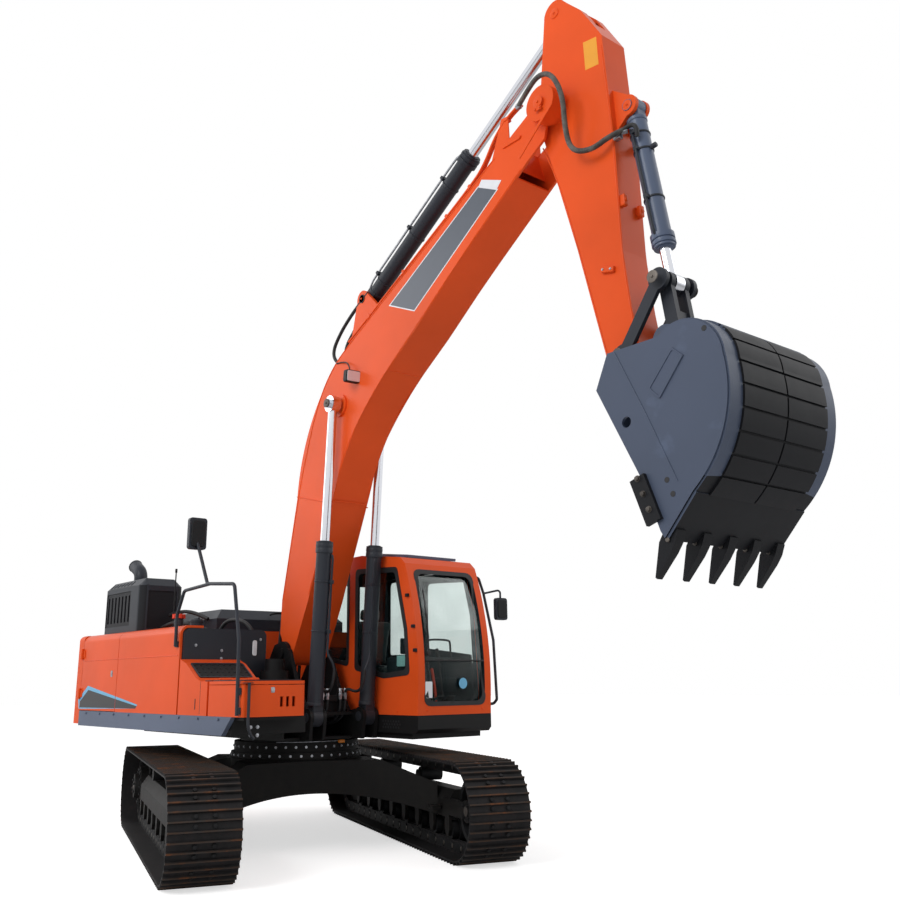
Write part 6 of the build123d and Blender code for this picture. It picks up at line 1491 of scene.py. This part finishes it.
class EXC_OT_cylinders(Operator):
    """Collars, pipes and bands of the boom, arm and bucket cylinders, and the fittings between them."""

    bl_idname = "exc.cylinders"
    bl_label = "Cylinders"

    def execute(self, context):
        graphite, zinc, seal = finishes["graphite"], finishes["zinc"], finishes["rubber"]
        boom_run, arm_run = (BOOM_CYLINDER_BASE, BOOM_CYLINDER_ROD), (ARM_CYLINDER_BASE, ARM_CYLINDER_ROD)
        bucket_run = (BUCKET_CYLINDER_BASE, LINK_PIN)
        # Columns: name, base and eye, side offset, barrel radius and length, collar's step, body, finish
        rows = (
            ("right_boom", boom_run, -BOOM_CYLINDER_SIDE, 0.08, 1.76, 0.01, "boom_barrels", graphite),
            ("left_boom", boom_run, BOOM_CYLINDER_SIDE, 0.08, 1.76, 0.01, "boom_barrels", graphite),
            ("arm", arm_run, 0.0, 0.088, 2.0, 0.018, "arm_barrel", graphite),
            ("bucket", bucket_run, 0.0, 0.078, 1.345, 0.018, "bucket_barrel", finishes["skirt"]),
        )
        for name, run, y, radius, length, proud, body, finish in rows:
            spot, way, over = along_cylinder(*run, y)
            place = facing(spot(length - 0.115), way, over)
            screws = [facing(place @ Vector((*spoke, 0.05)), way, over)
                      for spoke in on_circle(10, radius - 0.004)]
            parts = (
                disc(place, radius + proud, 0.05, 0.006, 40),
                disc(facing(spot(length - 0.05), way, over), radius + proud, 0.03, 0.004, 40),
                copies(bolt(0.02), screws),
                disc(facing(spot(length - 0.002), way, over), radius - 0.012, 0.012, 0.004, 32),
                disc(facing(spot(0.12), way, over), radius + 0.006, 0.03, 0.005, 36),
            )
            piece(join(*parts), f"{name}_cylinder_collars", body, finish)
        # Boom cylinders: a pipe along the front inner side of each, which turns in at its foot
        pipes, bands = [], []
        for side in (-1, 1):
            spot, way, over = along_cylinder(*boom_run, side * BOOM_CYLINDER_SIDE)
            # Columns: distance from the base, over the axis, towards the middle
            route = (
                (1.63, -0.06, 0.04), (1.63, -0.09, 0.055), (1.5, -0.085, 0.055), (1.0, -0.085, 0.055),
                (0.72, -0.085, 0.055), (0.62, -0.09, 0.055), (0.55, -0.13, 0.1), (0.47, -0.12, 0.13),
            )
            pipes.append(tube([spot(s, over_by, -side * inward) for s, over_by, inward in route], 0.012))
            for s in (0.85, 1.35):
                bands.append(ring(facing(spot(s), way, over), 0.081, 0.005, 1.6, 36))
                place = basis(spot(s, -0.085, -side * 0.055), way, FORWARD)
                bands.append(block(place, (0.04, 0.045, 0.035), 0.004))
        piece(join(*pipes), "boom_cylinder_pipes", "boom_barrels", graphite)
        piece(join(*bands), "boom_cylinder_bands", "boom_barrels", graphite)
        # Fittings between the boom cylinders: the outer ones feed them, the inner ones lead back down
        fittings, outer, lower = [], [], []
        x = 0.72
        for y in (-0.14, -0.08, 0.08, 0.14):
            side = 1 if y > 0 else -1
            fittings.append(disc(upright(at(x, y, 1.45)), 0.017, 0.11, 0.003, 6))
            fittings.append(disc(upright(at(x, y, 1.48)), 0.021, 0.03, 0.003, 6))
            routes = [(lower, ((0, y, 1.46), (0, y, 1.37), (-0.05, y, 1.27), (-0.2, y * 0.8, 1.2),
                               (-0.4, y * 0.5, 1.19)))]
            if abs(y) > 0.1:
                routes.append((outer, ((0, y, 1.52), (0.015, y, 1.55), (0.06, side * 0.155, 1.55),
                                       (0.14, side * 0.175, 1.525), (0.22, side * 0.186, 1.55),
                                       (0.27, side * 0.188, 1.65), (0.285, side * 0.188, 1.75))))
            else:
                routes.append((lower, ((0, y, 1.52), (-0.015, y, 1.55), (-0.06, side * 0.1, 1.55),
                                       (-0.12, side * 0.12, 1.5), (-0.14, side * 0.12, 1.36))))
            for hoses, route in routes:
                hoses.append(tube([at(x + step, across, z) for step, across, z in route], 0.015))
        piece(join(*fittings), "swing_fittings", "upper", zinc)
        piece(join(*lower), "lower_hoses", "upper", seal)
        hoses = piece(join(*outer), "cylinder_hoses", None, seal)
        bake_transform(hoses)
        manifold = block(at(0.66, 0, 1.46), (0.07, 0.36, 0.06), 0.008)
        stand = block(at(0.62, 0, 1.38), (0.03, 0.3, 0.22), 0.006)
        piece(join(manifold, stand), "manifold", "upper", finishes["black"])
        # Arm cylinder: two bare steel pipes over the barrel, with bands
        spot, way, over = along_cylinder(*arm_run)
        pipes = []
        for y, reach in ((-0.05, 1.9), (0.05, 1.86)):
            route = (
                (0.1, 0.1, 0.8), (0.16, 0.125, 1), (0.3, 0.125, 1), (1.0, 0.125, 1), (reach - 0.1, 0.125, 1),
                (reach, 0.12, 0.8), (reach + 0.02, 0.07, 0.6),
            )
            pipes.append(tube([spot(s, over_by, y * share) for s, over_by, share in route], 0.012))
        piece(join(*pipes), "arm_cylinder_pipes", "arm_barrel", zinc)
        bands = []
        for s in (0.3, 0.95, 1.6):
            bands.append(ring(facing(spot(s), way, over), 0.09, 0.006, 1.8, 36))
            bands.append(block(basis(spot(s, 0.115), way, over), (0.035, 0.15, 0.05), 0.005))
        bands.append(block(basis(spot(1.88, 0.085), way, over), (0.07, 0.11, 0.05), 0.008))
        piece(join(*bands), "arm_cylinder_bands", "arm_barrel", graphite)
        # Bucket cylinder: pipe and bands on its right side
        spot, way, over = along_cylinder(*bucket_run)
        route = ((0.24, -0.02, -0.09), (0.3, 0, -0.105), (0.5, 0, -0.105), (1.1, 0, -0.105),
                 (1.24, 0, -0.105), (1.26, 0, -0.07))
        parts = [tube([spot(*place) for place in route], 0.012)]
        for s in (0.28, 0.44, 0.9):
            parts.append(ring(facing(spot(s), way, over), 0.08, 0.006, 1.8, 36))
            parts.append(block(basis(spot(s, 0, -0.095), way, LEFT), (0.035, 0.04, 0.045), 0.005))
        parts.append(disc(facing(spot(0.44, 0.07), over, way), 0.022, 0.06, 0.004, 16))
        piece(join(*parts), "bucket_cylinder_pipes", "bucket_barrel", graphite)
        return {"FINISHED"}


class EXC_OT_arm(Operator):
    """Welds, blank plates, lugs and pin ends of the arm, and the hoses from boom to bucket cylinder."""

    bl_idname = "exc.arm"
    bl_label = "Arm"

    def execute(self, context):
        paint = finishes["paint"]
        outline = ((4.69, 6.99), (4.84, 6.965), (4.85, 6.69), (4.7, 6.71))
        for word, side in SIDES:
            plain_plate(f"{word}_arm_plate", outline, side * ARM_SIDE, finishes["yellow_film"], 0.0015, "arm")
        edge_welds("arm_welds", (shifted(ARM_REAR, 0.012), shifted(ARM_FRONT, -0.012)), ARM_SIDE, "arm")
        lugs = []
        for y, z in ((-0.11, 5.36), (0.09, 5.32)):
            lugs.append(block(at(5.0, y, z), (0.05, 0.05, 0.1), 0.01))
            lugs.append(disc(facing(at(5.026, y, z), FORWARD), 0.016, 0.006, 0.002, 14))
        for y in (-0.16, 0.16):
            lugs.append(block(basis(at(4.835, y, 4.8), (1, 0, -0.25)), (0.13, 0.03, 0.05), 0.008))
        piece(join(*lugs), "arm_lugs", "arm", paint)
        heads = [(at(4.79, -0.175, 4.812), -LEFT), (at(4.87, -0.175, 4.792), -LEFT)]
        piece(bolts(heads, 0.016), "arm_lug_screws", "arm", finishes["zinc"])
        pin_ends("arm_rod_pin_ends", ARM_CYLINDER_ROD, ARM_SIDE, 0.05, "arm", paint, False)
        pin_ends("bucket_cylinder_pin_ends", BUCKET_CYLINDER_BASE, 0.091, 0.045, "arm", paint, False)
        # Two guarded hoses round the tip, then along the front to the bucket cylinder
        route = ((3.93, 0.2, 6.735), (4.12, 0.3, 6.72), (4.36, 0.385, 6.745), (4.54, 0.4, 6.66),
                 (4.62, 0.36, 6.42), (4.57, 0.3, 6.16), (4.6, 0.27, 5.93), (4.8, 0.25, 5.85),
                 (4.98, 0.21, 5.92), (5.07, 0.15, 5.95))
        for word, side in SIDES:
            hose = tube([at(x, side * y, z) for x, y, z in route], 0.023)
            piece(hose, f"{word}_tip_hose", None, finishes["guard"])
            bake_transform(hose)
            nut = disc(basis(at(3.9, side * 0.195, 6.73), UP, FORWARD), 0.03, 0.05, 0.004, 6)
            piece(nut, f"{word}_tip_fitting", "boom", finishes["zinc"])
            place = facing(at(5.05, side * 0.15, 5.945), Vector((0.8, -side * 0.5, 0.1)))
            end = disc(place, 0.03, 0.05, 0.004, 6)
            holder = block(at(5.0, side * 0.135, 5.93), (0.07, 0.05, 0.06), 0.008)
            piece(join(end, holder), f"{word}_arm_fitting", "arm", finishes["zinc"])
        line = [at(5.07, -0.15, 5.95), at(5.14, -0.14, 5.98), at(5.19, -0.12, 5.93), at(5.17, -0.105, 5.86)]
        short = tube(line, context.scene.exc_sizes.hose)
        piece(short, "cylinder_link_hose", None, finishes["rubber"])
        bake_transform(short)
        return {"FINISHED"}


# The bucket's back, X and Z of three points of its arc; its wear plates, lip, teeth and pins
BUCKET_BACK = ((5.84, 2.79), (6.105, 3.16), (6.145, 3.64))
WEAR_HALF = 0.505
LIP_TOP = 2.88
TOOTH_PITCH = 0.29
PIN_END = 0.262
ROCKER_END = 0.245


class EXC_OT_bucket(Operator):
    """Pin ends of the linkage, seams, blank nameplate, cutters' bolts and tooth pins of the bucket."""

    bl_idname = "exc.bucket"
    bl_label = "Bucket"

    def execute(self, context):
        corners = [(5.54, 3.54), (5.63, 3.448), (5.85, 3.702), (5.76, 3.78)]
        for word, side in SIDES:
            y = side * BUCKET_SIDE
            out = LEFT * side
            back = plate(side_plane(y, side < 0), corners, 0.005, 0.002)
            lines = [rounded(inset(corners, step), 0.012, 2) for step in (0.002, 0.012)]
            rim = band(*(in_side(line, y + side * 0.006) for line in lines), 0.008)
            seam = tube(in_side([(5.26, 3.88), (5.5, 3.38), (5.725, 2.87)], y + side * 0.001), 0.0045, 2, 2)
            piece(join(back, rim, seam), f"{word}_nameplate", "bucket", finishes["bucket"])
            heads = [(at(x, y + side * 0.03, z), out) for x, z in ((5.42, 2.93), (5.46, 2.82), (5.5, 2.71))]
            piece(bolts(heads, 0.034), f"{word}_cutter_bolts", "bucket", finishes["worn"])
            holes = [disc(facing(at(x, y, z), out), 0.02, 0.002, 0, 16)
                     for x, z in ((6.022, 3.842), (5.64, 2.89), (5.68, 2.79))]
            piece(join(*holes), f"{word}_plug_holes", "bucket", finishes["rubber"])
        # The wear plates on the bucket's back are black, and the lip's lower outer faces are black as painted
        # shade
        shell = NODES["bucket_shell"]
        shell.data.materials.append(finishes["plates"])
        x0, z0, radius = circle_through(*BUCKET_BACK)
        for polygon in shell.data.polygons:
            x, y, z = polygon.center - Vector((SWING.x, 0, 0))
            outward = polygon.normal.x * (x - x0) + polygon.normal.z * (z - z0) > 0
            proud = math.hypot(x - x0, z - z0) > radius + 0.003
            wear_plate = proud and abs(y) < WEAR_HALF and x > BUCKET_BACK[0][0]
            if wear_plate or (outward and z < LIP_TOP and abs(polygon.normal.y) < 0.5):
                polygon.material_index = 1
        rubbed = finishes["worn"]
        places = [facing(at(5.6, (tooth - 2) * TOOTH_PITCH + side * 0.052, 2.5), LEFT * side)
                  for tooth in range(5) for side in (-1, 1)]
        piece(copies(disc(Matrix(), 0.016, 0.008, 0.002, 12), places), "tooth_pins", "bucket", rubbed)
        pin_ends("bucket_pin_ends", BUCKET_PIN, PIN_END, 0.05, "bucket", rubbed)
        pin_ends("bucket_link_pin_ends", BUCKET_LINK_PIN, PIN_END, 0.05, "bucket", rubbed)
        pin_ends("rocker_pin_ends", ROCKER_PIN, ROCKER_END, 0.045, "rocker", rubbed, False)
        pin_ends("link_pin_ends", LINK_PIN, ROCKER_END, 0.05, "rocker", rubbed, False)
        return {"FINISHED"}


# Stage

# The photograph's camera: place in the machine's own axes, turn in degrees, lens in mm, shift
CAMERA_PLACE = (9.572, -5.819, 1.617)
CAMERA_YAW, CAMERA_PITCH, CAMERA_ROLL = 140.57, 14.87, -0.56
CAMERA_LENS, CAMERA_SENSOR = 39.02, 36
CAMERA_SHIFT = (0.0114, -0.0303)
SKY_LIGHT = 0.46
FLOOR_GLOW = 0.62


class EXC_OT_stage(Operator):
    """Pale floor, soft lamps, white surroundings and the camera."""

    bl_idname = "exc.stage"
    bl_label = "Stage"

    def execute(self, context):
        scene = context.scene
        select_only()
        bpy.ops.mesh.primitive_plane_add(size=160)
        floor = context.object
        floor.name = "floor"
        material, tree, shader, _ = start_material("pale_floor")
        ray = node(tree, "ShaderNodeLightPath").outputs["Is Camera Ray"]
        dress(tree, shader, {"Emission Strength": reckon(tree, "MULTIPLY", ray, FLOOR_GLOW)},
              {"Base Color": linear("F2F2F2"), "Roughness": 0.9, "Specular IOR Level": 0.1,
               "Emission Color": (1, 1, 1, 1)})
        floor.data.materials.append(material)
        world = bpy.data.worlds.new("studio")
        scene.world = world
        world.use_nodes = True
        tree = world.node_tree
        ground = tree.nodes["Background"]
        ground.inputs["Color"].default_value = (1, 1, 1, 1)
        ground.inputs["Strength"].default_value = SKY_LIGHT
        white = node(tree, "ShaderNodeBackground", {"Color": (1, 1, 1, 1), "Strength": 1.0})
        ray = node(tree, "ShaderNodeLightPath").outputs
        seen = reckon(tree, "ADD", ray["Is Camera Ray"], ray["Is Glossy Ray"], True)
        through = reckon(tree, "ADD", seen, ray["Is Transmission Ray"], True)
        both = node(tree, "ShaderNodeMixShader", {}, {0: through, 1: ground.outputs[0], 2: white.outputs[0]})
        tree.links.new(both.outputs[0], tree.nodes["World Output"].inputs["Surface"])
        # Columns: place, point it faces, width, power
        lamps = (
            ((3, -15, 13), (0.5, 0, 3), 8, 1250), ((-10, -7, 8), (-1, 0, 2), 8, 300),
            ((9, 10, 10), (1, 0, 3), 8, 260),
        )
        for number, (place, aim, width, power) in enumerate(lamps):
            bpy.ops.object.light_add(type="AREA", location=place)
            lamp = context.object
            lamp.name = f"lamp_{number}"
            lamp.rotation_euler = (Vector(aim) - Vector(place)).to_track_quat("-Z", "Y").to_euler()
            lamp.data.energy = power
            lamp.data.size = width
        place = at(*CAMERA_PLACE)
        yaw, pitch, roll = (math.radians(angle) for angle in (CAMERA_YAW, CAMERA_PITCH, CAMERA_ROLL))
        ahead = Vector((math.cos(pitch) * math.cos(yaw), math.cos(pitch) * math.sin(yaw), math.sin(pitch)))
        level = Vector((math.sin(yaw), -math.cos(yaw), 0))
        top = level.cross(ahead)
        right = level * math.cos(roll) + top * math.sin(roll)
        top = top * math.cos(roll) - level * math.sin(roll)
        bpy.ops.object.camera_add()
        camera = context.object
        camera.matrix_world = Matrix.Translation(place) @ Matrix((right, top, -ahead)).transposed().to_4x4()
        camera.data.lens = CAMERA_LENS
        camera.data.sensor_width = CAMERA_SENSOR
        camera.data.shift_x, camera.data.shift_y = CAMERA_SHIFT
        camera.data.clip_end = 300
        scene.camera = camera
        scene.view_settings.view_transform = "Standard"
        return {"FINISHED"}


OPERATORS = (
    EXC_OT_finishes, EXC_OT_tracks, EXC_OT_slewing_ring, EXC_OT_covers, EXC_OT_deck,
    EXC_OT_cab, EXC_OT_cab_inside, EXC_OT_boom, EXC_OT_cylinders, EXC_OT_arm, EXC_OT_bucket, EXC_OT_stage,
)


class EXC_PT_panel(Panel):
    """Lists the excavator's pieces and the stage."""

    bl_idname = "EXC_PT_panel"
    bl_label = "Crawler excavator"
    bl_space_type = "VIEW_3D"
    bl_region_type = "UI"
    bl_category = "Excavator"

    def draw(self, context):
        for group in (context.scene.exc_colours, context.scene.exc_sizes):
            for key in group.bl_rna.properties.keys():
                if key not in ("rna_type", "name"):
                    self.layout.prop(group, key)
        for operator in OPERATORS:
            self.layout.operator(operator.bl_idname)


CLASSES = (EXC_Colours, EXC_Sizes, *OPERATORS, EXC_PT_panel)


def register():
    for item in CLASSES:
        bpy.utils.register_class(item)
    bpy.types.Scene.exc_colours = PointerProperty(type=EXC_Colours)
    bpy.types.Scene.exc_sizes = PointerProperty(type=EXC_Sizes)


def unregister():
    del bpy.types.Scene.exc_colours
    del bpy.types.Scene.exc_sizes
    for item in reversed(CLASSES):
        bpy.utils.unregister_class(item)


def main():
    register()
    for operator in OPERATORS:
        getattr(bpy.ops.exc, operator.bl_idname.split(".")[1])()


if __name__ == "__main__":
    main()
